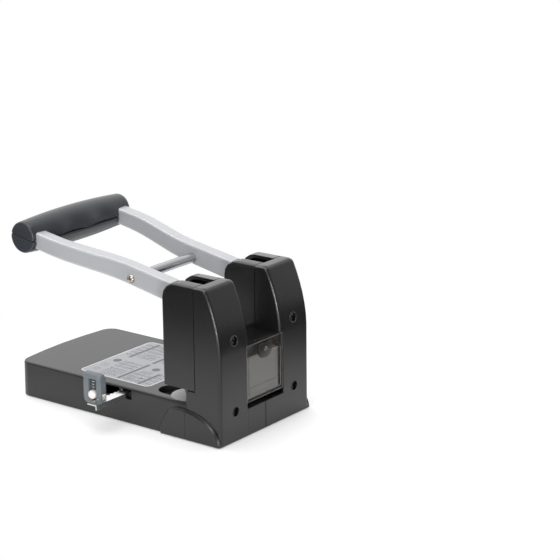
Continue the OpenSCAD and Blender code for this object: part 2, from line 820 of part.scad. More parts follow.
module guide_button() {
    x0 = stop_face - stop_t + 2.3;
    color("#d9d6d2") union() {
        translate([x0, stop_slot_y, button_z]) rotate([0, 90, 0]) rotate_extrude()
            polygon([[0, 0], [button_r - 0.6, 0], [button_r - 0.6, 2], [button_r, 2.6],
                [button_r, 5.2], [button_r - 1, 6.4], [0, 6.8]]);
        box([x0, stop_slot_y, rail_z + 0.3], [x0 + 2.8, rail_front + tooth_d - 0.4, rail_z + 2.1]);
    }
}

module button_spring() {
    r = 1.9;
    wire = 0.4;
    color("#c4c6c8") translate([stop_face - stop_t + stop_back_t + r + wire + seat, stop_slot_y, 0])
        coil(r, wire, button_z + button_r + 0.3, stop_cap_z - 0.1, 4);
}

// ---- chip bin ----

window_z0 = sill_z + bin_gap;
window_y = rear_d - 0.6;
box_x = bay_x - wall - 0.8;
box_top = bin_top - 12;

module window_cover() {
    x = bay_x - 0.4;
    color("#55565899") difference() {
        union() {
            box([-x, window_y - window_t, window_z0], [x, window_y, bin_top]);
            box([-x, window_y - 5, bin_top - 2], [x, window_y - window_t + eps, bin_top]);
        }
        for (s = [-1, 1]) box([s * (x - 3) - 0.4, window_y - 0.5, window_z0 + 6],
            [s * (x - 3) + 0.4, window_y + 1, bin_top - 10]);
    }
}

module chip_box() {
    y0 = bay_y + bay_wall + 0.7;
    y1 = window_y - window_t - fit;
    color("#6b6b69") difference() {
        box([-box_x, y0, window_z0 + 1.5], [box_x, y1, box_top]);
        box([-box_x + 1.6, y0 + 1.6, window_z0 + 3.5], [box_x - 1.6, y1 - 1.6, box_top + 1]);
        box([-box_x + 2, y1 - 0.5, window_z0 + 10], [box_x - 2, y1 + 1, box_top - 3]);
    }
}

// Finger pull at the head of the window
module bin_pull() {
    color("#161617") translate([0, window_y, bin_top - 9]) rotate([-90, 0, 0]) linear_extrude(3)
        offset(4) square([10, 5], center = true);
}

module pull_screw() {
    color("#d8d8da") translate([0, window_y + 3, bin_top - 9]) rotate([-90, 0, 0])
        rotate_extrude() polygon([[0, 0], [2, 0], [1.6, 0.8], [0, 1.1]]);
}

base_housing();
bottom_cover();
rubber_mat();
label_plate();
rear_cover(LEFT);  // rear_cover_left
rear_cover(RIGHT);  // rear_cover_right
front_shell(LEFT);  // front_shell_left
front_shell(RIGHT);  // front_shell_right
bridge_cover();
cover_screws();
c_frame(LEFT);  // c_frame_left
c_frame(RIGHT);  // c_frame_right
pivot_shafts();
guide_block(LEFT);  // guide_block_left
guide_block(RIGHT);  // guide_block_right
anvil_blocks();
cutting_disc(LEFT);  // cutting_disc_left
cutting_disc(RIGHT);  // cutting_disc_right
punch_tube(LEFT);  // punch_tube_left
punch_tube(RIGHT);  // punch_tube_right
punch_head(LEFT);  // punch_head_left
punch_head(RIGHT);  // punch_head_right
return_spring(LEFT);  // return_spring_left
return_spring(RIGHT);  // return_spring_right
lever_arm(LEFT);  // lever_arm_left
lever_arm(RIGHT);  // lever_arm_right
crank_plates(LEFT);  // crank_plates_left
crank_plates(RIGHT);  // crank_plates_right
drive_pins();
cross_rod();
rod_screws();
grip_tube();
grip_upper();
grip_lower();
grip_screws();
guide_rail();
guide_stop();
guide_button();
button_spring();
window_cover();
chip_box();
bin_pull();
pull_screw();
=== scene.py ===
# %% [markdown]
# # A heavy-duty two-hole lever punch
# The CAD frame brings every solid at its true size and place. This lesson adds what a solid model
# leaves out: finishes, printing, screws with recesses, a refined grip and paper stop, light and a
# camera. Each step says what a thing is on the real punch, how it could be made, and why it is made
# the way it is. No CAD node is moved, and its vertices stay as they came.

# %% Load the frame
import math
import bmesh
import bpy
from mathutils import Matrix, Vector


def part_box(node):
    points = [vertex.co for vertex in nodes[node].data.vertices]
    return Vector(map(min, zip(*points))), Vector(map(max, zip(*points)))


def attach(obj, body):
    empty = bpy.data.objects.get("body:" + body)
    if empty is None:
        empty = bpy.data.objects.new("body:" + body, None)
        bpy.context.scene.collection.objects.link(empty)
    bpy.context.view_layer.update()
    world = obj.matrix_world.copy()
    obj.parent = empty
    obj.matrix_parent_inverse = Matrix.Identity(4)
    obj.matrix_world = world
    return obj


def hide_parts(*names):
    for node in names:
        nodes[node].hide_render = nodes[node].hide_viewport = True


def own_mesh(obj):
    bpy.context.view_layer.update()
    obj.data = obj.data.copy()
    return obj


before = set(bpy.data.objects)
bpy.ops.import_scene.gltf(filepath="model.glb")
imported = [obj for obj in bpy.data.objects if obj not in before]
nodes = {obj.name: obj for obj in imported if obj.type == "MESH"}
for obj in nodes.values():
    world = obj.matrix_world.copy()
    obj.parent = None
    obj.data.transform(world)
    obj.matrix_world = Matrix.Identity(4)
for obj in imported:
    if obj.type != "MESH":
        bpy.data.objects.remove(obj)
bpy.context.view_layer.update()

scene = bpy.context.scene
print("nodes:", len(nodes))

# %% [markdown]
# ## Shared sizes
# The frame is in metres, and a punch is easier to think of in millimetres. So every length below is
# written in millimetres and becomes metres where a mesh is made. Sizes of the solids could be typed
# in again, but they are read from the frame, so that a piece always fits the solid it sits on.

# %% Shared sizes
MM = 0.001
PIN_X = 40.0  # half of the 80 mm between the holes, and the middle of each tower
SIDES = {"left": -1, "right": 1}


def box_mm(name):
    """The two far corners of a CAD node, in millimetres."""
    return [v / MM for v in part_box(name)]


print("covers end at y =", round(box_mm("rear_cover_left")[1].y, 2), "mm")

# %% [markdown]
# ## One helper for every node tree
# Shader trees and Geometry Nodes trees are both lists of nodes with settings, values and links.
# Each kind of node could have a function of its own. One small function that adds a node of any
# kind is enough, and each recipe below then reads from top to bottom.

# %% Node helper
def add_node(tree, kind, settings=None, values=None, links=None):
    """Adds a node: settings are its properties, values its open sockets, links feed its inputs."""
    new = tree.nodes.new(kind)
    for key, value in (settings or {}).items():
        setattr(new, key, value)
    for key, value in (values or {}).items():
        new.inputs[key].default_value = value
    for key, source in (links or {}).items():
        tree.links.new(source, new.inputs[key])
    return new


print("node helper ready")

# %% [markdown]
# ## Colours and plain finishes
# A colour as it is seen is an sRGB value, while a render adds up linear light, so one function turns
# the first into the second. Another starts a finish from its colour, roughness and metallic value.
# Any other uniform value goes straight to the shader's own socket, where it is easy to find.

# %% Colours and finishes
def linear(hex_colour):
    """sRGB hex to linear light, the way a colour is seen to the way it is computed."""
    channels = [int(hex_colour[i:i + 2], 16) / 255 for i in (1, 3, 5)]
    return tuple(c / 12.92 if c <= 0.04045 else ((c + 0.055) / 1.055) ** 2.4 for c in channels) + (1.0,)


def finish_of(name, colour, roughness, metallic=0.0, **sockets):
    """A Principled finish from its name, colour, roughness and metallic value."""
    m = bpy.data.materials.new(name)
    m.use_nodes = True
    shader = m.node_tree.nodes["Principled BSDF"]
    shader.inputs["Base Color"].default_value = linear(colour)
    shader.inputs["Roughness"].default_value = roughness
    shader.inputs["Metallic"].default_value = metallic
    for key, value in sockets.items():
        shader.inputs[key.replace("_", " ")].default_value = value
    m.diffuse_color = linear(colour)
    return m


print("a middle grey is", round(linear("#808080")[0], 3), "in linear light")

# %% [markdown]
# ## Surface grain
# Moulded, painted and blasted surfaces are never mirror smooth. A picture could be wrapped round
# them, but noise in object coordinates needs no unwrapping and keeps its size on every piece. It
# drives a fine bump, and moves the roughness and the colour a little. A Bevel node rounds the
# highlight along hard edges, as a mould's small radius does, and a broad noise stands for the
# slight sink of a moulded wall.

# %% Grain
CLOUD_MM = 9  # how wide the faint clouds of the colour are
SINK_MM = 26  # how wide the shallow sinks of a moulded wall are


def grained(m, grain_mm, depth_mm, spread=0.05, tint=0.0, round_mm=0.0, stretch=(1, 1, 1), wave_mm=0.0):
    """Adds grain to a finish and, where asked, clouded colour, rounded edges and shallow sinks."""
    tree = m.node_tree
    shader = tree.nodes["Principled BSDF"]
    coords = add_node(tree, "ShaderNodeTexCoord")
    mapped = add_node(tree, "ShaderNodeMapping", values={"Scale": stretch},
                      links={"Vector": coords.outputs["Object"]})
    noise = add_node(tree, "ShaderNodeTexNoise", values={"Scale": 1 / (grain_mm * MM), "Detail": 3.0},
                     links={"Vector": mapped.outputs["Vector"]})
    bump = add_node(tree, "ShaderNodeBump", values={"Distance": depth_mm * MM, "Strength": 1.0},
                    links={"Height": noise.outputs["Fac"]})
    base = shader.inputs["Roughness"].default_value
    rough = add_node(tree, "ShaderNodeMapRange", values={"To Min": base - spread, "To Max": base + spread},
                     links={"Value": noise.outputs["Fac"]})
    tree.links.new(rough.outputs["Result"], shader.inputs["Roughness"])
    if tint:
        colour = shader.inputs["Base Color"].default_value[:3]
        clouds = add_node(tree, "ShaderNodeTexNoise", values={"Scale": 1 / (CLOUD_MM * MM), "Detail": 2.0},
                          links={"Vector": coords.outputs["Object"]})
        mix = add_node(tree, "ShaderNodeMix", {"data_type": "RGBA"},
                       {"A": tuple(c * (1 - tint) for c in colour) + (1,),
                        "B": tuple(min(1, c * (1 + tint)) for c in colour) + (1,)},
                       {"Factor": clouds.outputs["Fac"]})
        tree.links.new(mix.outputs["Result"], shader.inputs["Base Color"])
    first = bump
    if wave_mm:
        sink = add_node(tree, "ShaderNodeTexNoise", values={"Scale": 1 / (SINK_MM * MM), "Detail": 1.0},
                        links={"Vector": coords.outputs["Object"]})
        first = add_node(tree, "ShaderNodeBump", values={"Distance": wave_mm * MM, "Strength": 1.0},
                         links={"Height": sink.outputs["Fac"]})
        tree.links.new(first.outputs["Normal"], bump.inputs["Normal"])
    if round_mm:
        bevel = add_node(tree, "ShaderNodeBevel", {"samples": 4}, {"Radius": round_mm * MM})
        tree.links.new(bevel.outputs["Normal"], first.inputs["Normal"])
    tree.links.new(bump.outputs["Normal"], shader.inputs["Normal"])
    return m


print("grain helper ready, clouds of", CLOUD_MM, "mm and sinks of", SINK_MM, "mm")

# %% [markdown]
# ## Black plastics
# The covers are injection-moulded ABS, nearly black, with greys that come from what they mirror. A
# lighter colour would give one flat grey. A dark colour with the right gloss gives each face its
# own grey, and that is how the real covers look. ABS bends light by about 1.54.
#
# The real grain of such mouldings is 0.03 to 0.1 mm. It is too fine to show at this distance, so it
# is drawn coarser, at 0.3 to 0.5 mm.

# %% Black plastics
# Polished mould: soft mirror images, light near the floor and dark towards the top.
tower_black = grained(finish_of("Moulded ABS black", "#151516", 0.24, IOR=1.54), 0.3, 0.003,
                      tint=0.05, round_mm=0.9, wave_mm=0.05)
# Spark-eroded mould: its coarser grain scatters the light from above, so the top looks greyer.
platform_black = grained(finish_of("Spark-textured ABS black", "#1b1b1c", 0.36, IOR=1.54), 0.3, 0.012,
                         tint=0.06, round_mm=0.7)
# Plain mould without a finish, never seen in use: dull and even.
under_black = grained(finish_of("Plain ABS underside", "#1b1b1c", 0.6), 0.5, 0.01, tint=0.05)
# Moulded rubber: no gloss at all, a soft black.
mat_rubber = grained(finish_of("Moulded rubber", "#141415", 0.8), 0.3, 0.02, tint=0.06)
# Painted shade of the gap where two mouldings meet: drawn near black and with no specular, as no light
# comes back from such a gap.
joint_shade = grained(finish_of("ABS joint in shade", "#050505", 0.9, Specular_IOR_Level=0.0), 0.5, 0.002)
# The lip of a moulded hole, polished by the pin that shapes it: its gloss gives a thin glint, and its
# colour, lighter than the covers, is a painted highlight.
lip_highlight_finish = grained(finish_of("Polished ABS lip", "#2a2a2b", 0.2, IOR=1.54), 0.4, 0.001)
# Moulded in a warmer black with a satin face: it sets the bin's pull off from the covers.
band_finish = grained(finish_of("Bin hood brown-black", "#1a1614", 0.4), 0.5, 0.004, tint=0.05)
print("black plastics made")

# %% [markdown]
# ## Coloured plastics
# The grip, the paper stop and the small parts are moulded in their own colours. Paint could give
# the same colour, but a moulded part is coloured through and has a soft, even gloss. So each has a
# plain colour, a middle roughness and a faint clouding, and no coat.

# %% Coloured plastics
# Soft-touch moulding over the grip's upper half: broad, blurred highlights.
grip_upper_finish = grained(finish_of("Soft-touch polymer slate", "#2b2e33", 0.36), 0.3, 0.006,
                            tint=0.06, wave_mm=0.08)
# Harder moulded ABS below: tighter highlights than the upper half.
grip_lower_finish = grained(finish_of("Moulded ABS slate", "#2f3237", 0.28), 0.35, 0.005, tint=0.05)
# Moulded ABS with a matt mould: a cool grey that hardly mirrors.
stop_finish = grained(finish_of("Moulded ABS blue-grey", "#646b6f", 0.42), 0.35, 0.006,
                      tint=0.06, round_mm=0.3)
# Moulded acetal: waxy, pale and smooth.
button_finish = grained(finish_of("Acetal ivory", "#dfdbd6", 0.35), 0.4, 0.002, tint=0.03)
# Moulded polystyrene: pale and dull behind the window.
bin_finish = grained(finish_of("Polystyrene grey", "#a8a8a5", 0.5), 0.5, 0.004, tint=0.05)
# Moulded polypropylene: a satin grey with a slightly waxy sheen.
disc_finish = grained(finish_of("Polypropylene grey", "#a0a0a3", 0.45), 0.4, 0.004, tint=0.04)
print("coloured plastics made")

# %% [markdown]
# ## The smoked window
# The chip bin's front is polycarbonate, tinted through and moulded glossy. Transmission could show
# the bin behind it, bent by the plastic. The sheet is thin and flat, so plain see-through alpha
# gives the same dim view, keeps the gloss on top and stays clean of noise.

# %% Smoked window
WINDOW_WAVE_MM = 18  # how wide the faint changes of the gloss are
# Glossy and dark: a clear mirror image over a dim view of the bin.
window_finish = finish_of("Smoked polycarbonate", "#383430", 0.1, Alpha=0.26)
window_finish.surface_render_method = "BLENDED"
shade = window_finish.node_tree
shade_noise = add_node(shade, "ShaderNodeTexNoise", values={"Scale": 1 / (WINDOW_WAVE_MM * MM)},
                       links={"Vector": add_node(shade, "ShaderNodeTexCoord").outputs["Object"]})
shade_rough = add_node(shade, "ShaderNodeMapRange", values={"To Min": 0.07, "To Max": 0.16},
                       links={"Value": shade_noise.outputs["Fac"]})
shade.links.new(shade_rough.outputs["Result"], shade.nodes["Principled BSDF"].inputs["Roughness"])
# Polished edge of the same sheet, drawn much paler than the sheet: the paler colour is a painted highlight
# for the light that an edge gathers.
window_edge_highlight = grained(finish_of("Smoked polycarbonate edge", "#757370", 0.25, Alpha=0.8), 0.5, 0.001)
window_edge_highlight.surface_render_method = "BLENDED"
print("window finishes made")

# %% [markdown]
# ## Metals and paint
# The arms are cast and sprayed in satin silver: a paint with metal flakes, so it is only partly
# metallic and shows the white room more softly than bare metal would. The rail, screws and punches
# are plated, blackened or ground steel, which is fully metallic and shows it sharply. Drawn marks
# run along the way that each part was worked, so there the grain is stretched.

# %% Metals and paint
# Satin flake paint: pale and soft, with a bright band where a face turns up.
arm_finish = grained(finish_of("Satin silver paint", "#b2b3b6", 0.32, 0.32), 0.25, 0.004,
                     tint=0.03, round_mm=1.2)
# The same paint over a turned rod, laid thin: long, clear streaks of light and dark.
rod_finish = grained(finish_of("Silver paint on turned rod", "#a9aaad", 0.2, 0.85), 0.3, 0.002)
# Nickel plate on a drawn strip: bright, with marks along its length.
rail_finish = grained(finish_of("Nickel plate", "#dcdcdb", 0.24, 1.0), 0.6, 0.002, stretch=(0.15, 1, 1))
# Zinc plate, passivated yellow: a warm, slightly brassy shine.
zinc_finish = grained(finish_of("Yellow-passivated zinc", "#b9b5a9", 0.25, 1.0), 0.3, 0.002)
# Zinc plate on pressed steel inside: grey and satin.
frame_finish = grained(finish_of("Zinc-plated steel", "#9a9c9f", 0.4, 0.9), 0.4, 0.004, tint=0.04)
# Round ground shafts: a clear shine with fine marks around them.
ground_finish = grained(finish_of("Ground steel", "#b9babd", 0.22, 1.0), 0.2, 0.002, stretch=(1, 1, 12))
# Drawn spring wire: bright lines along each turn.
spring_finish = grained(finish_of("Spring wire", "#c4c6c8", 0.28, 1.0), 0.2, 0.001)
# Blackened steel: a dark metal that still glints.
screw_finish = grained(finish_of("Blackened steel", "#6c6c6f", 0.22, 1.0), 0.2, 0.002)
print("metals and paint made")

# %% [markdown]
# ## Foil and printing ink
# The instruction plate is a foil with a silver ground, printed in greys and white. The ink could be
# a pattern in the foil's material. It is laid on as thin shapes instead, so that the mesh that
# leaves Blender carries the print too, and each ink is a finish of its own.

# %% Foil and inks
# Printed silver foil: satin and half metallic, so it turns lighter and darker with the view.
plate_finish = grained(finish_of("Printed foil silver", "#a3a4a9", 0.46, 0.3), 0.25, 0.003, tint=0.02)
# Screen-printed inks lie flat and matt, so they hold their tone while the foil shines.
ink_dark = grained(finish_of("Printing ink dark grey", "#66676b", 0.55), 0.2, 0.001)
ink_mid = grained(finish_of("Printing ink mid grey", "#66676c", 0.55), 0.2, 0.001)
ink_white = grained(finish_of("Printing ink white", "#e6e6e8", 0.5), 0.2, 0.001)
print("foil and inks made")

# %% [markdown]
# ## Finishes of the CAD nodes
# Each solid of the real punch is one material. A solid whose shape is right could be copied and
# dressed, but it is simpler and safer to keep its mesh and put a finish in its material slot.

# %% Finishes of the nodes
NODE_FINISHES = {
    tower_black: ["rear_cover_left", "rear_cover_right", "front_shell_left", "front_shell_right",
                  "bridge_cover", "bin_pull"],
    platform_black: ["base_housing"],
    under_black: ["bottom_cover"],
    mat_rubber: ["rubber_mat"],
    plate_finish: ["label_plate"],
    screw_finish: ["cover_screws", "grip_screws"],
    zinc_finish: ["rod_screws", "pull_screw"],
    frame_finish: ["c_frame_left", "c_frame_right", "guide_block_left", "guide_block_right",
                   "anvil_blocks", "punch_head_left", "punch_head_right", "crank_plates_left",
                   "crank_plates_right", "grip_tube"],
    ground_finish: ["pivot_shafts", "punch_tube_left", "punch_tube_right", "drive_pins"],
    disc_finish: ["cutting_disc_left", "cutting_disc_right"],
    spring_finish: ["return_spring_left", "return_spring_right", "button_spring"],
    arm_finish: ["lever_arm_left", "lever_arm_right"],
    rod_finish: ["cross_rod"],
    grip_upper_finish: ["grip_upper"],
    grip_lower_finish: ["grip_lower"],
    rail_finish: ["guide_rail"],
    stop_finish: ["guide_stop"],
    button_finish: ["guide_button"],
    window_finish: ["window_cover"],
    bin_finish: ["chip_box"],
}
for finish, names in NODE_FINISHES.items():
    for name in names:
        data = nodes[name].data
        data.materials.clear()
        data.materials.append(finish)
print("nodes without a finish:", sorted(set(nodes) - {n for v in NODE_FINISHES.values() for n in v}))

# %% [markdown]
# ## Smooth shading
# The real mouldings are round where a mesh has flat facets. On the pieces made here, faces are
# shaded smooth and the edges that turn by more than a limit are marked sharp. The frame's meshes
# share no vertices between faces, and merging them would change them. So there the normals are
# averaged by place, weighted by area so that a large flat face stays flat beside its fillet.

# %% Smooth shading
def shade_by_angle(data, angle=32):
    """Shades a closed mesh smooth, except over the edges that turn by more than the angle."""
    bm = bmesh.new()
    bm.from_mesh(data)
    limit = math.radians(angle)
    flags = [len(e.link_faces) != 2 or e.calc_face_angle(0) > limit for e in bm.edges]
    bm.free()
    data.shade_smooth()
    attribute = data.attributes.get("sharp_edge") or data.attributes.new("sharp_edge", "BOOLEAN", "EDGE")
    attribute.data.foreach_set("value", flags)


def blend_normals(data, angle=30):
    """Averages, by area, the normals of faces that meet at one place and turn by less than the angle."""
    def spot(v):
        return tuple(round(c * 1e6) for c in data.vertices[v].co)
    limit = math.cos(math.radians(angle))
    faces = [(face.normal.copy(), face.area, [spot(v) for v in face.vertices]) for face in data.polygons]
    meeting = {}
    for normal, area, spots in faces:
        for place in spots:
            meeting.setdefault(place, []).append((normal, normal * area))
    blended = []
    for normal, area, spots in faces:
        for place in spots:
            near = (weighted for other, weighted in meeting[place] if normal.dot(other) > limit)
            blended.append(sum(near, Vector()).normalized())
    data.shade_smooth()
    data.normals_split_custom_set(blended)


for node in nodes.values():
    blend_normals(node.data)
print("shaded", len(nodes), "nodes")

# %% [markdown]
# ## From a bmesh to a riding piece
# A piece made here belongs to one moving body of the real punch. It sits at the origin, with its
# place in its mesh, and rides on that body, so one script is right at every pose. The helper also
# turns millimetres into metres and makes the faces point outwards.

# %% Piece helper
def make_piece(name, bm, finish, body, angle=35):
    """Turns a bmesh in millimetres into a finished piece that rides on a body."""
    bmesh.ops.scale(bm, vec=(MM, MM, MM), verts=bm.verts)
    bmesh.ops.recalc_face_normals(bm, faces=bm.faces)
    data = bpy.data.meshes.new(name)
    bm.to_mesh(data)
    bm.free()
    shade_by_angle(data, angle)
    data.materials.append(finish)
    obj = bpy.data.objects.new(name, data)
    scene.collection.objects.link(obj)
    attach(obj, body)
    print("made", name, "with", len(data.polygons), "faces")
    return obj


print("piece helper ready")

# %% [markdown]
# ## Outlines and skins
# Moulded parts have a rounded outline and softened edges. A Bevel modifier could soften a box, but
# rings of points joined into a skin give each edge its own softness, and the same two functions
# serve a long grip and a flat printed mark.

# %% Outlines and skins
def rounded(cx, cy, w, h, radii, steps=6):
    """Outline of a rectangle with its own radius at each corner, anticlockwise from lower right."""
    corners = [(1, -1, -90), (1, 1, 0), (-1, 1, 90), (-1, -1, 180)]
    points = []
    for (sx, sy, start), r in zip(corners, radii):
        for k in range(steps + 1):
            a = math.radians(start + 90 * k / steps)
            points.append((cx + sx * (w / 2 - r) + r * math.cos(a),
                           cy + sy * (h / 2 - r) + r * math.sin(a)))
    return points


def join_rings(bm, low, high):
    """Fills the band between two rings with as many vertices each."""
    for k in range(len(low)):
        after = (k + 1) % len(low)
        bm.faces.new((low[k], low[after], high[after], high[k]))


def skin(bm, rings):
    """Joins rings of points into a closed skin."""
    loops = [[bm.verts.new(p) for p in ring] for ring in rings]
    for low, high in zip(loops, loops[1:]):
        join_rings(bm, low, high)
    bm.faces.new(loops[0][::-1])
    bm.faces.new(loops[-1])


print("an outline with four corners has", len(rounded(0, 0, 2, 2, [0.5] * 4)), "points")

# %% [markdown]
# ## Where the lever is
# The real lever is set out from its pivot, and so are the pieces that dress it. Its places could be
# measured in the world, but along and across the arm they are plain numbers.

# %% Lever
CRANK_LEN, CRANK_LEAN = 17.0, math.radians(16.25)
PIVOT = Vector((0, CRANK_LEN * math.cos(CRANK_LEAN), 113.5))
ARM_SLOPE = math.radians(10.2)
ARM_LEN = 185.0


def on_lever(x, along, up):
    """A point of the lever, given along the arm from the pivot and up from the arm's middle line."""
    c, s = math.cos(ARM_SLOPE), math.sin(ARM_SLOPE)
    return Vector((x, PIVOT.y - along * c + up * s, PIVOT.z + along * s + up * c))


print("grip's middle at", [round(v, 1) for v in on_lever(0, ARM_LEN, 0)])

# %% [markdown]
# ## The grip's outline
# The grip is thicker in the middle, where the hands close round it, and its flat ends have a narrow
# chamfered rim. The outline could be drawn as a curve. A rule keeps it even at any length: the
# radius falls off with the square of the distance, and a few close rings make the rim.

# %% Grip outline
GRIP_LEN, GRIP_MID_R, GRIP_END_R = 126.0, 16.2, 13.6
END_RIM = [(0, -1.3), (0.25, -0.75), (0.7, -0.3), (1.3, 0)]  # from the end, and off the radius
RIM_LEN = END_RIM[-1][0]
BETWEEN_RIMS = 44  # steps along the grip


def grip_radius(x):
    """The grip's radius, which bulges towards its middle."""
    return GRIP_MID_R - (GRIP_MID_R - GRIP_END_R) * (2 * x / GRIP_LEN) ** 2


half = GRIP_LEN / 2
stations = [(-half + x, drop) for x, drop in END_RIM]
stations += [(-half + RIM_LEN + (GRIP_LEN - 2 * RIM_LEN) * k / BETWEEN_RIMS, 0)
             for k in range(1, BETWEEN_RIMS)]
stations += [(half - x, drop) for x, drop in reversed(END_RIM)]
print("grip of", len(stations), "rings, radius", GRIP_END_R, "to", GRIP_MID_R, "mm")

# %% [markdown]
# ## The grip's two shells
# The real grip is two moulded shells about a steel tube, with a dark parting groove between them.
# Sculpting could give the same form, but a loft of arcs is exact: the arc's two ends drop inwards a
# little, and the two drops together are the groove. The side towards the user's fingers has slow
# waves that show as soft highlights.

# %% Grip halves
AROUND = 40  # steps around each half
GROOVE_DROP, GROOVE_REACH = 0.8, 1.1
PARTING, PARTING_REACH = 0.22, 3  # each half stands off the parting plane by this much
FINGER_SIDE = math.radians(10)  # where the fingers lie, up from the parting plane
WAVE_DEPTH, WAVE_PITCH, WAVE_SHIFT, WAVE_END = 0.95, 38, 6, 46


def grip_half(name, upper, finish, node):
    """Lofts one half of the grip from arcs of half a circle, in place of its CAD node."""
    centre = on_lever(0, ARM_LEN, 0)
    c, s = math.cos(ARM_SLOPE), math.sin(ARM_SLOPE)
    bm = bmesh.new()
    rings = []
    for x, drop in stations:
        ring = []
        for k in range(AROUND + 1):
            t = k / AROUND
            a = math.pi * t if upper else math.pi * (1 + t)
            edge = min(t, 1 - t) * math.pi * grip_radius(x)
            r = grip_radius(x) + drop - GROOVE_DROP * max(0, 1 - edge / GROOVE_REACH)
            if upper:
                fingers = max(0, math.cos(a - FINGER_SIDE)) ** 4
                wave = math.cos(2 * math.pi * (x + WAVE_SHIFT) / WAVE_PITCH)
                wave *= max(0, 1 - (abs(x) / WAVE_END) ** 4)
                r += WAVE_DEPTH * fingers * (wave - 1)
            off = (PARTING if upper else -PARTING) * max(0, 1 - edge / PARTING_REACH)
            u, v = r * math.cos(a), r * math.sin(a) + off
            ring.append((x, centre.y + u * c + v * s, centre.z - u * s + v * c))
        rings.append(ring)
    skin(bm, rings)
    piece = make_piece(name, bm, finish, "lever")
    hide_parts(node)


grip_half("grip_shell_upper", True, grip_upper_finish, "grip_upper")
grip_half("grip_shell_lower", False, grip_lower_finish, "grip_lower")

# %% [markdown]
# ## A plate with a window
# The stop's front, the print's border and the bin window's frame are all flat plates with an
# opening. A Boolean could cut the opening. A band of faces between an outer and an inner outline
# makes it cleaner, and softens the edges of both in the same way.

# %% Framed plate
def framed_plate(bm, outer, inner, w0, w1, soft, place):
    """A plate with a window in it, drawn in u and v, w0 to w1 thick, with softened edges."""
    def grow(points, d):
        """Widens an outline by d on every side."""
        cu = (min(p[0] for p in points) + max(p[0] for p in points)) / 2
        cv = (min(p[1] for p in points) + max(p[1] for p in points)) / 2
        eu = max(p[0] for p in points) - cu
        ev = max(p[1] for p in points) - cv
        return [(cu + (u - cu) * (1 + d / eu), cv + (v - cv) * (1 + d / ev)) for u, v in points]
    levels = [(w0, -soft), (w0 + soft, 0), (w1 - soft, 0), (w1 - 0.3 * soft, -0.3 * soft), (w1, -soft)]
    out_rings = [[bm.verts.new(place(u, v, w)) for u, v in grow(outer, d)] for w, d in levels]
    in_rings = [[bm.verts.new(place(u, v, w)) for u, v in grow(inner, -d)] for w, d in levels]
    for rings in (out_rings, in_rings):
        for low, high in zip(rings, rings[1:]):
            join_rings(bm, low, high)
    join_rings(bm, out_rings[0], in_rings[0])
    join_rings(bm, out_rings[-1], in_rings[-1])


print("framed plate ready")

# %% [markdown]
# ## The paper stop's body
# The stop is a small moulded block that slides on the rail. An open slot in its face shows the
# release button and its spring. Carving the slot from a block would leave hard edges, so the face
# is a framed plate with rounded edges, and a thin wall closes its back.

# %% Stop body
STOP_LOW, STOP_HIGH = box_mm("guide_stop")
BUTTON_HALF = 3.8
SLOT_Y = box_mm("guide_button")[0].y + BUTTON_HALF
FACE_X, BACK_X = STOP_HIGH.x, STOP_HIGH.x - 7.5
CAP_Z = STOP_HIGH.z - 4.6  # underside of the cap
FACE_BACK = 0.9  # the face lies this far behind the solid's, in the shade of the cap
STOP_Y0, STOP_Y1 = SLOT_Y - 9.9, SLOT_Y + 9.5
TUCKED = 1  # how far the body reaches up into the cap
BACK_WALL = 1.9
slot_low, slot_high = STOP_LOW.z + 3.2, CAP_Z - 0.4
bm = bmesh.new()
outer = rounded((STOP_Y0 + STOP_Y1) / 2, (STOP_LOW.z + CAP_Z + TUCKED) / 2, STOP_Y1 - STOP_Y0,
                CAP_Z + TUCKED - STOP_LOW.z, (4, 0.8, 0.8, 4))
inner = rounded(SLOT_Y, (slot_low + slot_high) / 2, 2 * BUTTON_HALF + 0.7, slot_high - slot_low,
                (3.6, 1, 1, 3.6))
framed_plate(bm, outer, inner, BACK_X + BACK_WALL, FACE_X - FACE_BACK, 0.5, lambda u, v, w: (w, u, v))
skin(bm, [[(x, *p) for p in outer] for x in (BACK_X, BACK_X + BACK_WALL + 0.05)])
stop_body = make_piece("stop_body", bm, stop_finish, "stop")
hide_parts("guide_stop")

# %% [markdown]
# ## The paper stop's cap
# A cap overhangs the body a little, and its upper edge is round where a thumb pushes it. Instead of
# a box with a bevel, rings at rising levels draw in step by step, so the top can be rounder than
# the lower edge.

# %% Stop cap
CAP_OVER = 0.4  # overhang at each side, and twice as much over the solid's face
CAP_CORNER = 2.6
cap_x, cap_y = (BACK_X + FACE_X) / 2 + CAP_OVER, (STOP_Y0 + STOP_Y1) / 2
cap_w, cap_d = FACE_X - BACK_X + 2 * CAP_OVER, STOP_Y1 - STOP_Y0 + 2 * CAP_OVER
CAP_LEVELS = [(CAP_Z, 0.6), (CAP_Z + 0.4, 0.1), (CAP_Z + 0.9, 0), (STOP_HIGH.z - 2, 0),
              (STOP_HIGH.z - 1, 0.35), (STOP_HIGH.z - 0.4, 1), (STOP_HIGH.z, 2.2)]
bm = bmesh.new()
skin(bm, [[(*p, z) for p in rounded(cap_x, cap_y, cap_w - 2 * d, cap_d - 2 * d, [CAP_CORNER - 0.5 * d] * 4)]
          for z, d in CAP_LEVELS])
make_piece("stop_cap", bm, stop_finish, "stop", angle=50)

# %% [markdown]
# ## Geometry Nodes for what repeats
# Ribs, screws, rims and print repeat or follow a path. Copies could be made one by one in a loop. A
# tree with named sizes does it in one place, and anyone who opens it can see the rule. Three helpers
# start a tree, end it and run it, and the result is kept as a plain mesh.

# %% Tree helpers
def new_tree(name, inputs):
    """A Geometry Nodes tree with named inputs and one geometry output."""
    tree = bpy.data.node_groups.new(name, "GeometryNodeTree")
    tree.interface.new_socket("Geometry", in_out="OUTPUT", socket_type="NodeSocketGeometry")
    for label, kind in inputs:
        tree.interface.new_socket(label, in_out="INPUT", socket_type="NodeSocket" + kind)
    return tree, add_node(tree, "NodeGroupInput").outputs, add_node(tree, "NodeGroupOutput")


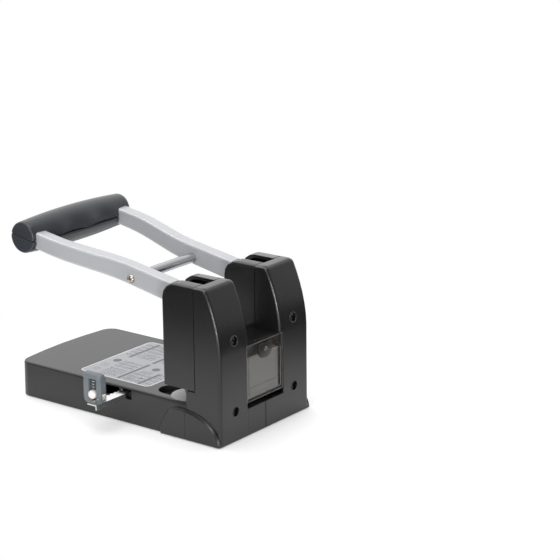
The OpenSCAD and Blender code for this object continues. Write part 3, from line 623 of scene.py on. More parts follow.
def end_tree(tree, geometry, material_socket, out):
    """Realizes the instances and sets the finish, because the export drops instances."""
    real = add_node(tree, "GeometryNodeRealizeInstances", links={"Geometry": geometry})
    done = add_node(tree, "GeometryNodeSetMaterial",
                    links={"Geometry": real.outputs[0], "Material": material_socket})
    tree.links.new(done.outputs[0], out.inputs[0])


def run_tree(name, tree, inputs, body, carrier=None, angle=35):
    """Runs a tree once on a carrier mesh and keeps the result as a plain mesh that rides a body."""
    obj = bpy.data.objects.new(name, carrier or bpy.data.meshes.new(name))
    scene.collection.objects.link(obj)
    modifier = obj.modifiers.new("build", "NODES")
    modifier.node_group = tree
    for item in tree.interface.items_tree:
        if item.in_out == "INPUT" and item.name in inputs:
            modifier[item.identifier] = inputs[item.name]
    result = bpy.data.meshes.new_from_object(obj.evaluated_get(bpy.context.evaluated_depsgraph_get()))
    obj.modifiers.clear()
    obj.data = result
    result.name = name
    bm = bmesh.new()
    bm.from_mesh(result)
    bmesh.ops.remove_doubles(bm, verts=bm.verts, dist=1e-7)
    bmesh.ops.recalc_face_normals(bm, faces=bm.faces)
    bm.to_mesh(result)
    bm.free()
    shade_by_angle(result, angle)
    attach(obj, body)
    print("grew", name, "with", len(result.polygons), "faces")
    return obj


print("tree helpers ready")

# %% [markdown]
# ## Finger ribs
# The stop's two narrow sides are ribbed, so that fingers don't slip. A displaced surface could hint
# at ribs, but real ones show in the outline. They stand at an even pitch, so a Mesh Line carries an
# instance of one slim round rib.

# %% Ribs
RIB_COUNT, RIB_PITCH, RIB_R = 5, 1.15, 0.32
RIB_INSET, RIB_LIFT, RIB_SHORT = 1.6, 4.6, 8  # from the back, above the foot, shorter than the body
rib_tree, rib_in, rib_out = new_tree("row of ribs", [
    ("Start", "Vector"), ("Step", "Vector"), ("Count", "Int"), ("Rib radius", "Float"),
    ("Rib height", "Float"), ("Finish", "Material")])
line = add_node(rib_tree, "GeometryNodeMeshLine", links={
    "Count": rib_in["Count"], "Start Location": rib_in["Start"], "Offset": rib_in["Step"]})
rib = add_node(rib_tree, "GeometryNodeMeshCylinder", values={"Vertices": 12, "Side Segments": 1},
               links={"Radius": rib_in["Rib radius"], "Depth": rib_in["Rib height"]})
ribs = add_node(rib_tree, "GeometryNodeInstanceOnPoints",
                links={"Points": line.outputs[0], "Instance": rib.outputs[0]})
end_tree(rib_tree, ribs.outputs[0], rib_in["Finish"], rib_out)

rib_h = CAP_Z - STOP_LOW.z - RIB_SHORT
for label, y in (("front", STOP_Y0), ("rear", STOP_Y1)):
    first_rib = ((BACK_X + RIB_INSET) * MM, y * MM, (STOP_LOW.z + RIB_LIFT + rib_h / 2) * MM)
    run_tree("stop_ribs_" + label, rib_tree, {
        "Start": first_rib, "Step": (RIB_PITCH * MM, 0, 0), "Count": RIB_COUNT, "Rib radius": RIB_R * MM,
        "Rib height": rib_h * MM, "Finish": stop_finish}, "stop")

# %% [markdown]
# ## The button's spring
# A small wire spring above the release button presses it down, and is pushed together when the
# button is lifted. It is drawn as a spiral swept by the wire's round section, as long as the CAD
# spring.

# %% Button spring
spring_tree, spring_in, spring_out = new_tree("coil spring", [
    ("Turns", "Float"), ("Coil radius", "Float"), ("Wire", "Float"), ("Height", "Float"),
    ("Foot", "Vector"), ("Finish", "Material")])
coil = add_node(spring_tree, "GeometryNodeCurveSpiral", values={"Resolution": 32}, links={
    "Rotations": spring_in["Turns"], "Start Radius": spring_in["Coil radius"],
    "End Radius": spring_in["Coil radius"], "Height": spring_in["Height"]})
wire_circle = add_node(spring_tree, "GeometryNodeCurvePrimitiveCircle", values={"Resolution": 10},
                       links={"Radius": spring_in["Wire"]})
coil_mesh = add_node(spring_tree, "GeometryNodeCurveToMesh", values={"Fill Caps": True},
                     links={"Curve": coil.outputs[0], "Profile Curve": wire_circle.outputs[0]})
coil_placed = add_node(spring_tree, "GeometryNodeTransform",
                       links={"Geometry": coil_mesh.outputs[0], "Translation": spring_in["Foot"]})
end_tree(spring_tree, coil_placed.outputs[0], spring_in["Finish"], spring_out)

low, high = box_mm("button_spring")
WIRE_R = 0.3
COIL_TURNS = 4.0
coil_x, coil_y = (low.x + high.x) / 2, (low.y + high.y) / 2
button_coil = run_tree("button_coil", spring_tree, {
    "Turns": COIL_TURNS, "Coil radius": ((high.x - low.x) / 2 - WIRE_R) * MM, "Wire": WIRE_R * MM,
    "Height": (high.z - low.z - 2 * WIRE_R) * MM, "Foot": (coil_x * MM, coil_y * MM, (low.z + WIRE_R) * MM),
    "Finish": spring_finish}, "stop", angle=60)
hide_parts("button_spring")
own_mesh(button_coil)
print("spring from", round(low.z, 2), "to", round(high.z, 2), "across", round(high.x - low.x, 2))

# %% [markdown]
# ## Screws with cross recesses
# The screws at the rear have rounded heads with a cross pressed into them. A dark cross drawn on
# top would look flat from the side. So a head is a flattened ball with a short shank, and a Mesh
# Boolean cuts the cross. The tree grows one on every point of its carrier, turned to face outwards.

# %% Screw tree
CROSS_TURN = 0.35  # no screw stops with its cross upright
head_tree, head_in, head_out = new_tree("cross-recess screws", [
    ("Points", "Geometry"), ("Head radius", "Float"), ("Head flattening", "Vector"),
    ("Recess bar", "Vector"), ("Recess height", "Vector"), ("Shank radius", "Float"),
    ("Shank length", "Float"), ("Facing", "Vector"), ("Finish", "Material")])
ball = add_node(head_tree, "GeometryNodeMeshUVSphere", values={"Segments": 32, "Rings": 16},
                links={"Radius": head_in["Head radius"]})
dome = add_node(head_tree, "GeometryNodeTransform",
                links={"Geometry": ball.outputs[0], "Scale": head_in["Head flattening"]})
bar = add_node(head_tree, "GeometryNodeMeshCube", links={"Size": head_in["Recess bar"]})
cut = add_node(head_tree, "GeometryNodeMeshBoolean", {"operation": "DIFFERENCE"},
               links={0: dome.outputs[0]})
for turn in (CROSS_TURN, CROSS_TURN + math.pi / 2):
    arm = add_node(head_tree, "GeometryNodeTransform", values={"Rotation": (0, 0, turn)},
                   links={"Geometry": bar.outputs[0], "Translation": head_in["Recess height"]})
    head_tree.links.new(arm.outputs[0], cut.inputs[1])
shank = add_node(head_tree, "GeometryNodeMeshCylinder", values={"Vertices": 32}, links={
    "Radius": head_in["Shank radius"], "Depth": head_in["Shank length"]})
below = add_node(head_tree, "ShaderNodeVectorMath", {"operation": "SCALE"}, {"Scale": -0.5})
down = add_node(head_tree, "ShaderNodeCombineXYZ", links={"Z": head_in["Shank length"]})
head_tree.links.new(down.outputs[0], below.inputs[0])
rod = add_node(head_tree, "GeometryNodeTransform",
               links={"Geometry": shank.outputs[0], "Translation": below.outputs[0]})
both = add_node(head_tree, "GeometryNodeJoinGeometry", links={0: cut.outputs[0]})
head_tree.links.new(rod.outputs[0], both.inputs[0])
heads = add_node(head_tree, "GeometryNodeInstanceOnPoints", links={
    "Points": head_in["Points"], "Instance": both.outputs[0], "Rotation": head_in["Facing"]})
end_tree(head_tree, heads.outputs[0], head_in["Finish"], head_out)
print("screw tree has", len(head_tree.nodes), "nodes")

# %% [markdown]
# ## The cover screws
# Four blackened pan-head screws hold the rear covers, each at the bottom of a round hole. They
# share one carrier of four loose points, so that the four are one mesh like the CAD node that they
# replace.

# %% Cover screws
def point_carrier(name, points):
    """Loose points, in millimetres, that a tree grows something on."""
    data = bpy.data.meshes.new(name)
    data.from_pydata([(x * MM, y * MM, z * MM) for x, y, z in points], [], [])
    return data


def screw_inputs(head_r, flat, cross, cross_up, shank_r, shank_len, finish):
    """Inputs of the screw tree for a screw that faces the rear, from sizes in millimetres."""
    return {"Head radius": head_r * MM, "Head flattening": (1, 1, flat),
            "Recess bar": [c * MM for c in cross], "Recess height": (0, 0, cross_up * MM),
            "Shank radius": shank_r * MM, "Shank length": shank_len * MM,
            "Facing": (-math.pi / 2, 0, 0), "Finish": finish}


HEAD_R = 3.7
HEAD_STAND = 6.5  # how far the head's middle stands out from the screw's seat
low, high = box_mm("cover_screws")
SCREW_ZS = (low.z + HEAD_R, high.z - HEAD_R)
SEAT_Y = high.y - 2.6
screw_points = [(s * PIN_X, SEAT_Y + HEAD_STAND, z) for s in SIDES.values() for z in SCREW_ZS]
cover_sizes = screw_inputs(head_r=HEAD_R, flat=0.62, cross=(5.4, 1.35, 3), cross_up=2.3,
                           shank_r=HEAD_R - 0.01, shank_len=HEAD_STAND, finish=screw_finish)
cover_heads = run_tree("cover_screw_heads", head_tree, cover_sizes, "body",
                       point_carrier("cover_screw_heads", screw_points), 40)
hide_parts("cover_screws")

# %% [markdown]
# ## The rims of the screw holes
# A moulded hole has a small rounded lip, which catches the light. A bevel on the cover would change
# the CAD mesh, so each lip is a circle swept by a smaller one. The rear faces lean, and a ray finds
# the true face and its slope beside each hole, so the lip lies flat on it.

# %% Hole rims
from mathutils.bvhtree import BVHTree

ring_tree, ring_in, ring_out = new_tree("rings", [
    ("Radius", "Float"), ("Wire", "Float"), ("Place", "Vector"), ("Facing", "Vector"),
    ("Finish", "Material")])
circle = add_node(ring_tree, "GeometryNodeCurvePrimitiveCircle", values={"Resolution": 48},
                  links={"Radius": ring_in["Radius"]})
wire = add_node(ring_tree, "GeometryNodeCurvePrimitiveCircle", values={"Resolution": 8},
                links={"Radius": ring_in["Wire"]})
swept = add_node(ring_tree, "GeometryNodeCurveToMesh",
                 links={"Curve": circle.outputs[0], "Profile Curve": wire.outputs[0]})
placed = add_node(ring_tree, "GeometryNodeTransform", links={
    "Geometry": swept.outputs[0], "Translation": ring_in["Place"], "Rotation": ring_in["Facing"]})
end_tree(ring_tree, placed.outputs[0], ring_in["Finish"], ring_out)


def face_point(name, x, z, start=0.2):
    """Where a ray from the rear meets a node, and how far that face is turned up."""
    data = nodes[name].data
    tree = BVHTree.FromPolygons([v.co for v in data.vertices], [p.vertices for p in data.polygons])
    spot, normal, _, _ = tree.ray_cast(Vector((x * MM, start, z * MM)), Vector((0, -1, 0)))
    return spot.y, math.atan2(normal.z, normal.y)


RIM_R, RIM_WIRE, RIM_SUNK = 4.3, 0.42, 0.05
BESIDE = 5.4  # the ray passes this far from the hole's middle
# Each lip is drawn lighter than its cover: a painted highlight beside the glint of its own gloss.
for side, s in SIDES.items():
    for label, z in zip(("low", "high"), SCREW_ZS):
        x = s * PIN_X
        y, lean = face_point("rear_cover_" + side, x + s * BESIDE, z)
        run_tree("hole_rim_%s_%s" % (side, label), ring_tree, {
            "Radius": RIM_R * MM, "Wire": RIM_WIRE * MM, "Place": (x * MM, y - RIM_SUNK * MM, z * MM),
            "Facing": (-math.pi / 2 + lean, 0, 0), "Finish": lip_highlight_finish}, "body")

# %% [markdown]
# ## Joint lines between the covers
# Two moulded covers meet in a fine gap with softened lips, which the eye reads as one dark line
# nearly a millimetre wide. The solids meet without one, and cutting it in would change them. So a
# carrier mesh holds the path of each joint as edges, and the tree turns these into curves and
# sweeps a small circle along them, sunk almost wholly into the surface. The bead's black is painted
# shade: it stands for the shade inside the gap.

# %% Joint lines
line_tree, line_in, line_out = new_tree("joint lines", [
    ("Paths", "Geometry"), ("Line radius", "Float"), ("Finish", "Material")])
curves = add_node(line_tree, "GeometryNodeMeshToCurve", links={"Mesh": line_in["Paths"]})
section = add_node(line_tree, "GeometryNodeCurvePrimitiveCircle", values={"Resolution": 8},
                   links={"Radius": line_in["Line radius"]})
beads = add_node(line_tree, "GeometryNodeCurveToMesh", values={"Fill Caps": True},
                 links={"Curve": curves.outputs[0], "Profile Curve": section.outputs[0]})
end_tree(line_tree, beads.outputs[0], line_in["Finish"], line_out)

LINE_R, SUNK = 0.56, 0.44
EDGE_R, TOP_R = 3.6, 3.4  # the lines stop short of the towers' rounded edges
REAR_Y, TOWER_TOP = box_mm("rear_cover_left")[1].yz
JOINT_Y = box_mm("front_shell_left")[1].y + 0.15
INNER_X, OUTER_X = (corner.x for corner in box_mm("front_shell_right"))
THROAT_Z = box_mm("front_shell_left")[0].z
SEAM_Z = (1.2, 24)  # foot and head of the seam between the rear covers, under the window
BRIDGE_Z = 79  # above this the towers' inner sides are free
SLOT_X = (32, 48)  # the arm's slot interrupts the line over the tower's top
line_top, line_z = TOWER_TOP - TOP_R, TOWER_TOP - SUNK
paths = [[(0, REAR_Y - SUNK, SEAM_Z[0]), (0, REAR_Y - SUNK, SEAM_Z[1])]]
for s in SIDES.values():
    outer_x, inner_x = s * (OUTER_X - SUNK), s * (INNER_X + SUNK)
    paths.append([(outer_x, JOINT_Y, THROAT_Z + 0.4), (outer_x, JOINT_Y, line_top)])
    paths.append([(inner_x, JOINT_Y, BRIDGE_Z), (inner_x, JOINT_Y, line_top)])
    paths.append([(s * (OUTER_X - EDGE_R), JOINT_Y, line_z), (s * SLOT_X[1], JOINT_Y, line_z)])
    paths.append([(s * SLOT_X[0], JOINT_Y, line_z), (s * (INNER_X + EDGE_R), JOINT_Y, line_z)])
carrier = bpy.data.meshes.new("joint_lines")
carrier.from_pydata([[c * MM for c in point] for path in paths for point in path],
                    [(2 * k, 2 * k + 1) for k in range(len(paths))], [])
# Dark beads of painted shade along each joint.
run_tree("joint_lines", line_tree, {"Line radius": LINE_R * MM, "Finish": joint_shade},
         "body", carrier)

# %% [markdown]
# ## Small print on the instruction plate
# The plate carries blocks of small grey print. They could be set as type or drawn, but at this size
# only their tone and rhythm are seen. So the blocks are rows of dashes of random length, grown on a
# grid with a fixed seed. Level dashes read as lines of text and turned ones as small drawings.

# %% Rows of dashes
row_tree, row_in, row_out = new_tree("rows of dashes", [
    ("Centre", "Vector"), ("Width", "Float"), ("Depth", "Float"), ("Columns", "Int"), ("Rows", "Int"),
    ("Longest", "Float"), ("Dash height", "Float"), ("Ink thickness", "Float"), ("Least turn", "Float"),
    ("Most turn", "Float"), ("Seed", "Int"), ("Finish", "Material")])
grid = add_node(row_tree, "GeometryNodeMeshGrid", links={
    "Size X": row_in["Width"], "Size Y": row_in["Depth"],
    "Vertices X": row_in["Columns"], "Vertices Y": row_in["Rows"]})
moved = add_node(row_tree, "GeometryNodeTransform",
                 links={"Geometry": grid.outputs[0], "Translation": row_in["Centre"]})
share = add_node(row_tree, "FunctionNodeRandomValue", {"data_type": "FLOAT"}, {2: 0.35, 3: 0.92},
                 {"Seed": row_in["Seed"]})
length = add_node(row_tree, "ShaderNodeMath", {"operation": "MULTIPLY"},
                  links={0: share.outputs[1], 1: row_in["Longest"]})
size = add_node(row_tree, "ShaderNodeCombineXYZ", links={
    "X": length.outputs[0], "Y": row_in["Dash height"], "Z": row_in["Ink thickness"]})
turn = add_node(row_tree, "FunctionNodeRandomValue", {"data_type": "FLOAT"}, links={
    2: row_in["Least turn"], 3: row_in["Most turn"], "Seed": row_in["Seed"]})
facing_up = add_node(row_tree, "ShaderNodeCombineXYZ", links={"Z": turn.outputs[1]})
dash = add_node(row_tree, "GeometryNodeMeshCube")
dashes = add_node(row_tree, "GeometryNodeInstanceOnPoints", links={
    "Points": moved.outputs[0], "Instance": dash.outputs[0], "Scale": size.outputs[0],
    "Rotation": facing_up.outputs[0]})
end_tree(row_tree, dashes.outputs[0], row_in["Finish"], row_out)
print("row tree has", len(row_tree.nodes), "nodes")

# %% [markdown]
# ## Where the blocks of print lie
# Eleven blocks share the plate: four of text, a drawing beside each, and three narrow strips. They
# could be placed by hand in the viewport, but a row of numbers for each keeps the layout in sight.
# Real print is finer than these dashes, which are drawn 0.9 mm high so that they show.

# %% Blocks of print
PLATE_LOW, PLATE_HIGH = box_mm("label_plate")
INK = 0.03
DASH_H = 0.9
FIRST_SEED = 11
# Middle x and y, width, depth, columns, rows, and the most that a dash is turned.
TEXT_BLOCKS = [(-32, -93, 22, 20, 3, 9, 0), (-13, -93, 14, 17, 4, 8, 1.4), (14, -92, 18, 19, 3, 9, 0),
               (34, -92, 18, 17, 5, 8, 1.4), (-33, -66, 20, 17, 3, 8, 0), (-13, -66, 15, 15, 4, 7, 1.4),
               (34, -65, 20, 17, 3, 8, 0), (20, -66, 8, 10, 3, 5, 1.4), (26, -47.5, 36, 6, 5, 3, 0),
               (-24, -47.5, 36, 6, 5, 3, 0), (-24, -112, 36, 5, 5, 3, 0)]
for k, (x, y, w, d, columns, rows, turned) in enumerate(TEXT_BLOCKS):
    run_tree("plate_print_%d" % (k + 1), row_tree, {
        "Centre": (x * MM, y * MM, (PLATE_HIGH.z + INK / 2) * MM), "Width": w * MM * (1 - 1 / columns),
        "Depth": d * MM, "Columns": columns, "Rows": rows, "Longest": w / columns * MM,
        "Dash height": DASH_H * MM, "Ink thickness": INK * MM, "Least turn": -turned, "Most turn": turned,
        "Seed": FIRST_SEED + k, "Finish": ink_dark if turned else ink_mid}, "body")

# %% [markdown]
# ## Title bars and dots
# Dark bars head the blocks of print, and dark dots mark places in the drawings. A material could
# paint them, but thin raised shapes keep crisp edges however near the camera comes.

# %% Bars and dots
INK_FOOT = 0.005  # the print stands this far off the foil, so the two never flicker
BAR_DEPTH = 3.2
TITLE_BARS = [(-44.5, -3.2, -106.3), (2, 44.4, -77.6), (-44.5, -1.6, -77.6),
              (16.3, 46, -53.4), (-44, 4, -53.4)]  # left end, right end and middle line of each
DOTS = [(9.2, -109.1, 3.9), (9.3, -64.3, 3.9), (39.9, -85.6, 0.8), (18.6, -85.5, 0.8),
        (33.8, -60.2, 1.4)]  # middle and radius of each


def flat_mark(bm, outline):
    """Adds a printed shape to a bmesh, as thick as a layer of ink."""
    z = PLATE_HIGH.z + INK_FOOT
    skin(bm, [[(x, y, level) for x, y in outline] for level in (z, z + INK)])


bm = bmesh.new()
for x0, x1, y in TITLE_BARS:
    flat_mark(bm, rounded((x0 + x1) / 2, y, x1 - x0, BAR_DEPTH, [0.4] * 4, 2))
for x, y, r in DOTS:
    flat_mark(bm, rounded(x, y, 2 * r, 2 * r, [r - 0.01] * 4, 8))
make_piece("plate_bars", bm, ink_dark, "body")

# %% [markdown]
# ## The plate's light border
# A light line frames the plate just inside its edge. It has the same form as the window's frame, so
# the same framed plate makes it, only a few hundredths of a millimetre thick.

# %% Border
BORDER_IN, BORDER_WIDE = 0.1, 0.9
cx, cy = (PLATE_LOW.x + PLATE_HIGH.x) / 2, (PLATE_LOW.y + PLATE_HIGH.y) / 2
outer_inset, inner_inset = 2 * BORDER_IN, 2 * (BORDER_IN + BORDER_WIDE)
pw, pd = PLATE_HIGH.x - PLATE_LOW.x, PLATE_HIGH.y - PLATE_LOW.y
bm = bmesh.new()
framed_plate(bm, rounded(cx, cy, pw - outer_inset, pd - outer_inset, [4.9] * 4),
             rounded(cx, cy, pw - inner_inset, pd - inner_inset, [4] * 4),
             PLATE_HIGH.z + 0.002, PLATE_HIGH.z + 2 * INK, 0.01, lambda u, v, w: (u, v, w))
make_piece("plate_border", bm, ink_white, "body")

# %% [markdown]
# ## Rings in the drawings
# Fine rings stand for the round parts in the plate's small drawings. The tree that made the rims of
# the screw holes draws them too, laid flat and sunk until only a thin line is left.

# %% Rings
RING_WIRE, RING_SUNK = 0.22, 0.15
RINGS = [(23.7, -110.6, 3.3), (35.2, -109.6, 3.3), (23.7, -110.6, 1.4), (35.2, -109.6, 1.7),
         (24, -68, 4), (38, -68, 2.4), (-14, -92, 5), (-34, -92, 4)]  # middle and radius of each
for k, (x, y, r) in enumerate(RINGS):
    run_tree("plate_ring_%d" % (k + 1), ring_tree, {
        "Radius": r * MM, "Wire": RING_WIRE * MM,
        "Place": (x * MM, y * MM, (PLATE_HIGH.z - RING_SUNK) * MM), "Facing": (0, 0, 0),
        "Finish": ink_dark}, "body")

# %% [markdown]
# ## The chip bin's window frame
# The smoked front of the bin has a polished rim, and inside it a narrow moulded line. Both could be
# edges of the solid, but lines this fine need their own finish to be seen: a paler colour, which is a
# painted highlight. They are framed plates that stand out by a tenth of a millimetre or two.

# %% Window frame
def facing_rear(u, v, w):
    """Stands a shape drawn in u and v upright, with its thickness towards the rear."""
    return u, w, v


WINDOW_LOW, WINDOW_HIGH = box_mm("window_cover")
SEATED = 0.02  # how far each frame is let into the window
PANEL_LOW, PANEL_HIGH, PANEL_W, PANEL_LINE = WINDOW_LOW.z + 3.2, 67.5, 43.5, 0.6
panel_mid, panel_h = (PANEL_LOW + PANEL_HIGH) / 2, PANEL_HIGH - PANEL_LOW
bm = bmesh.new()
framed_plate(bm, rounded(0, panel_mid, PANEL_W, panel_h, [1.2] * 4, 3),
             rounded(0, panel_mid, PANEL_W - 2 * PANEL_LINE, panel_h - 2 * PANEL_LINE, [0.6] * 4, 3),
             WINDOW_HIGH.y - SEATED, WINDOW_HIGH.y + 0.18, 0.08, facing_rear)
make_piece("window_line", bm, window_edge_highlight, "chip_bin")

RIM_GAP, RIM_LINE = 0.05, 0.5
cover_mid, cover_h = (WINDOW_LOW.z + WINDOW_HIGH.z) / 2, WINDOW_HIGH.z - WINDOW_LOW.z
cover_w = WINDOW_HIGH.x - WINDOW_LOW.x
outer_inset, inner_inset = 2 * RIM_GAP, 2 * (RIM_GAP + RIM_LINE)
bm = bmesh.new()
framed_plate(bm, rounded(0, cover_mid, cover_w - outer_inset, cover_h - outer_inset, [0.5] * 4, 3),
             rounded(0, cover_mid, cover_w - inner_inset, cover_h - inner_inset, [0.3] * 4, 3),
             WINDOW_HIGH.y - SEATED, WINDOW_HIGH.y + 0.12, 0.05, facing_rear)
make_piece("window_rim", bm, window_edge_highlight, "chip_bin")

# %% [markdown]
# ## The bin's finger pull
# A dark tab with a round lower edge sits at the head of the window, held by one small screw. The
# solid is a plain rounded block that stands out further. Rings of one outline, drawn in at the
# front, give the nearly flush tab.

# %% Finger pull
PULL_LOW, PULL_HIGH = box_mm("bin_pull")
px, pz = (PULL_LOW.x + PULL_HIGH.x) / 2, (PULL_LOW.z + PULL_HIGH.z) / 2
pull_w, pull_h = PULL_HIGH.x - PULL_LOW.x, PULL_HIGH.z - PULL_LOW.z
tab_y = PULL_LOW.y + 1.1
LOW_R, HIGH_R = 7.2, 1.6
TAB_LEVELS = [(PULL_LOW.y, 0), (tab_y - 0.6, 0), (tab_y - 0.25, 0.15), (tab_y, 0.7)]
bm = bmesh.new()
skin(bm, [[(x, y, z) for x, z in rounded(px, pz, pull_w - 2 * d, pull_h - 2 * d,
                                         (LOW_R - d, HIGH_R - d, HIGH_R - d, LOW_R - d), 8)]
          for y, d in TAB_LEVELS])
bin_tab = make_piece("bin_tab", bm, band_finish, "chip_bin")
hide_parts("bin_pull")

tab_sizes = screw_inputs(head_r=2, flat=0.5, cross=(2.8, 0.6, 1.2), cross_up=1.1,
                         shank_r=1.9, shank_len=0.6, finish=zinc_finish)
tab_screw = run_tree("tab_screw", head_tree, tab_sizes, "chip_bin",
                     point_carrier("tab_screw", [(px, tab_y + 0.2, pz + 1.5)]), 40)
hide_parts("pull_screw")

# %% [markdown]
# ## Floor
# The punch is pictured on a white paper sweep that runs on behind it. A curved sheet could be
# modelled. A flat plane under a white world has no horizon either, because the paper blends into
# plain white with distance, and it keeps the punch's soft shadow near its foot.

# %% Floor
FLOOR_SIZE = 8.0


def plane(name, size, z):
    """A level square about the origin, with its size and height in metres."""
    data = bpy.data.meshes.new(name)
    h = size / 2
    data.from_pydata([(-h, -h, z), (h, -h, z), (h, h, z), (-h, h, z)], [], [(0, 1, 2, 3)])
    obj = bpy.data.objects.new(name, data)
    scene.collection.objects.link(obj)
    return obj


floor = plane("floor", FLOOR_SIZE, 0.0)
# White paper: matt, so it scatters light and mirrors nothing.
sweep = finish_of("Paper white sweep", "#fbfbfb", 0.8)
floor.data.materials.append(sweep)
print("floor laid,", FLOOR_SIZE, "m wide")

# %% [markdown]
# ## What the covers mirror of the floor
# Glossy black shows its surroundings more than itself. A floor that is white throughout turns every
# face of the towers the same grey. So the floor's colour in glossy rays is painted reflection: it turns
# dark grey with distance, which paints the covers lighter low down and darker high up, and it stays
# white in a lane that runs towards the camera.

# %% Mirrored floor
FOOT_Y = -0.06  # middle of the punch
TO_CAMERA = (0.775, 0.632, 0.0)  # level direction from the punch to the camera
SMOOTH = {"interpolation_type": "SMOOTHSTEP"}
tree = sweep.node_tree
paper_shader = tree.nodes["Principled BSDF"]
place = add_node(tree, "ShaderNodeTexCoord")
shift = add_node(tree, "ShaderNodeVectorMath", {"operation": "SUBTRACT"}, {1: (0, FOOT_Y, 0)},
                 {0: place.outputs["Object"]})
reach = add_node(tree, "ShaderNodeVectorMath", {"operation": "LENGTH"}, links={0: shift.outputs[0]})
fade = add_node(tree, "ShaderNodeMapRange", SMOOTH,
                {"From Min": 0.13, "From Max": 0.36, "To Min": 0.0, "To Max": 1.0},
                {"Value": reach.outputs["Value"]})
heading = add_node(tree, "ShaderNodeVectorMath", {"operation": "NORMALIZE"}, links={0: shift.outputs[0]})
lane = add_node(tree, "ShaderNodeVectorMath", {"operation": "DOT_PRODUCT"}, {1: TO_CAMERA},
                {0: heading.outputs[0]})
beside = add_node(tree, "ShaderNodeMapRange", SMOOTH,
                  {"From Min": 0.75, "From Max": 0.97, "To Min": 1.0, "To Max": 0.0},
                  {"Value": lane.outputs["Value"]})
dark = add_node(tree, "ShaderNodeMath", {"operation": "MULTIPLY"},
                links={0: fade.outputs[0], 1: beside.outputs[0]})
path = add_node(tree, "ShaderNodeLightPath")
glossy = add_node(tree, "ShaderNodeMath", {"operation": "MULTIPLY"},
                  links={0: dark.outputs[0], 1: path.outputs["Is Glossy Ray"]})
# Painted reflection: glossy rays see the paper dark grey away from the punch, except in the lane.
tone = add_node(tree, "ShaderNodeMix", {"data_type": "RGBA"},
                {"A": linear("#fbfbfb"), "B": linear("#303033")}, {"Factor": glossy.outputs[0]})
tree.links.new(tone.outputs["Result"], paper_shader.inputs["Base Color"])
print("mirrored floor fades from", fade.inputs["From Min"].default_value, "m")

# %% [markdown]
# ## Plain white away from the punch
# Paper lit by lamps is never an even white, and brighter lamps would bleach the punch. So away from
# the punch the camera sees plain white. Rays through the window see it too, and glossy rays see it
# where the floor's mirror image is not painted dark, so that metal shows the white set.

# %% White floor
away = add_node(tree, "ShaderNodeMapRange", SMOOTH,
                {"From Min": 0.12, "From Max": 0.3, "To Min": 0.25, "To Max": 1.0},
                {"Value": reach.outputs["Value"]})
# The part of the floor whose mirror image is not painted dark.
lit = add_node(tree, "ShaderNodeMath", {"operation": "SUBTRACT"}, {0: 1.0}, {1: dark.outputs[0]})
mirrored = add_node(tree, "ShaderNodeMath", {"operation": "MULTIPLY"},
                    links={0: lit.outputs[0], 1: path.outputs["Is Glossy Ray"]})
direct = add_node(tree, "ShaderNodeMath", {"operation": "MAXIMUM"},
                  links={0: path.outputs["Is Camera Ray"], 1: path.outputs["Is Transmission Ray"]})
shown = add_node(tree, "ShaderNodeMath", {"operation": "MAXIMUM"},
                 links={0: direct.outputs[0], 1: mirrored.outputs[0]})
blank = add_node(tree, "ShaderNodeMath", {"operation": "MULTIPLY"},
                 links={0: away.outputs[0], 1: shown.outputs[0]})
paper = add_node(tree, "ShaderNodeEmission", values={"Color": (1, 1, 1, 1), "Strength": 1.0})
blend = add_node(tree, "ShaderNodeMixShader", links={
    0: blank.outputs[0], 1: paper_shader.outputs[0], 2: paper.outputs[0]})
tree.links.new(blend.outputs[0], tree.nodes["Material Output"].inputs["Surface"])
print("floor tree has", len(tree.nodes), "nodes")

# %% [markdown]
# ## The white room
# A black object is pictured in a white room that is brightest behind it: the backdrop then shows in
# the level faces, and the camera's side stays dim. An even world would flatten them. The camera and
# rays through the window see the room at a strength of 1, which is plain white.

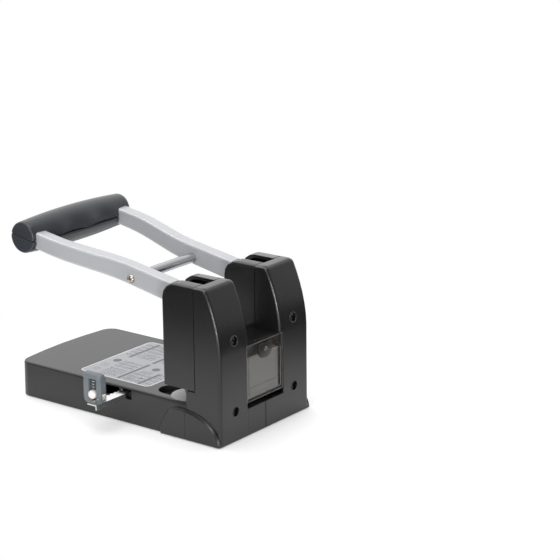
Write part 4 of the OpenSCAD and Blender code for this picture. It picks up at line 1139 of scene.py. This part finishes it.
# %% World
world = scene.world or bpy.data.worlds.new("World")
scene.world = world
world.use_nodes = True
tree = world.node_tree
background = tree.nodes["Background"]
sky = add_node(tree, "ShaderNodeTexCoord")
facing = add_node(tree, "ShaderNodeVectorMath", {"operation": "DOT_PRODUCT"},
                  {1: tuple(-c for c in TO_CAMERA)}, {0: sky.outputs["Generated"]})
behind = add_node(tree, "ShaderNodeMapRange", SMOOTH,
                  {"From Min": -0.1, "From Max": 0.85, "To Min": 0.3, "To Max": 1.4},
                  {"Value": facing.outputs["Value"]})
path = add_node(tree, "ShaderNodeLightPath")
direct = add_node(tree, "ShaderNodeMath", {"operation": "MAXIMUM"},
                  links={0: path.outputs["Is Camera Ray"], 1: path.outputs["Is Transmission Ray"]})
seen = add_node(tree, "ShaderNodeMix", {"data_type": "FLOAT"}, {"B": 1.0},
                {"Factor": direct.outputs[0], "A": behind.outputs[0]})
tree.links.new(seen.outputs[0], background.inputs["Strength"])
background.inputs["Color"].default_value = (1, 1, 1, 1)
print("world tree has", len(tree.nodes), "nodes")

# %% [markdown]
# ## Soft panels
# Four panels of soft light stand round the table, at a plain level at which a colour renders about
# as it is written. Bare bulbs would draw hard shadows. A panel is also mirrored as a soft shape, and
# the low one beside the camera draws the thin bright lines along the upright edges.

# %% Lamps
AIM = Vector((0, -0.05, 0.07))  # every panel faces the middle of the punch
# Name, place in metres, width, height and watts.
PANELS = [("overhead", (0.15, 0.0, 1.5), 1.2, 1.2, 13), ("back light", (0.0, -0.85, 1.25), 0.5, 0.5, 3),
          ("key", (1.5, 0.2, 0.9), 0.8, 0.8, 10), ("edge light", (1.25, 1.5, 0.3), 0.3, 0.5, 15)]
for name, location, width, height, power in PANELS:
    lamp = bpy.data.lights.new(name, "AREA")
    lamp.shape = "RECTANGLE"
    lamp.size = width
    lamp.size_y = height
    lamp.energy = power
    obj = bpy.data.objects.new(name, lamp)
    obj.location = location
    obj.rotation_euler = (AIM - Vector(location)).to_track_quat("-Z", "Y").to_euler()
    scene.collection.objects.link(obj)

# %% [markdown]
# ## Camera
# The punch is seen from its rear right corner and a little above, through a long lens that keeps
# its upright edges upright. The view could be set by eye. It was found by fitting the edges of the
# platform and of the towers in the photograph, and a small lens shift frames the object.

# %% Camera
camera = bpy.data.objects.new("camera", bpy.data.cameras.new("camera"))
scene.collection.objects.link(camera)
scene.camera = camera
camera.data.sensor_width = 36
camera.data.lens = 127.80
camera.data.shift_x = -0.01104
camera.data.shift_y = -0.01214
right = Vector((-0.6025, 0.7982, -0.0084))
up = Vector((-0.2278, -0.1619, 0.9602))
turn = Matrix((right, up, right.cross(up))).transposed().to_4x4()
camera.matrix_world = Matrix.Translation((1.2402, 1.0119, 0.5924)) @ turn
scene.view_settings.view_transform = "Standard"
print("camera at", [round(v, 3) for v in camera.location])
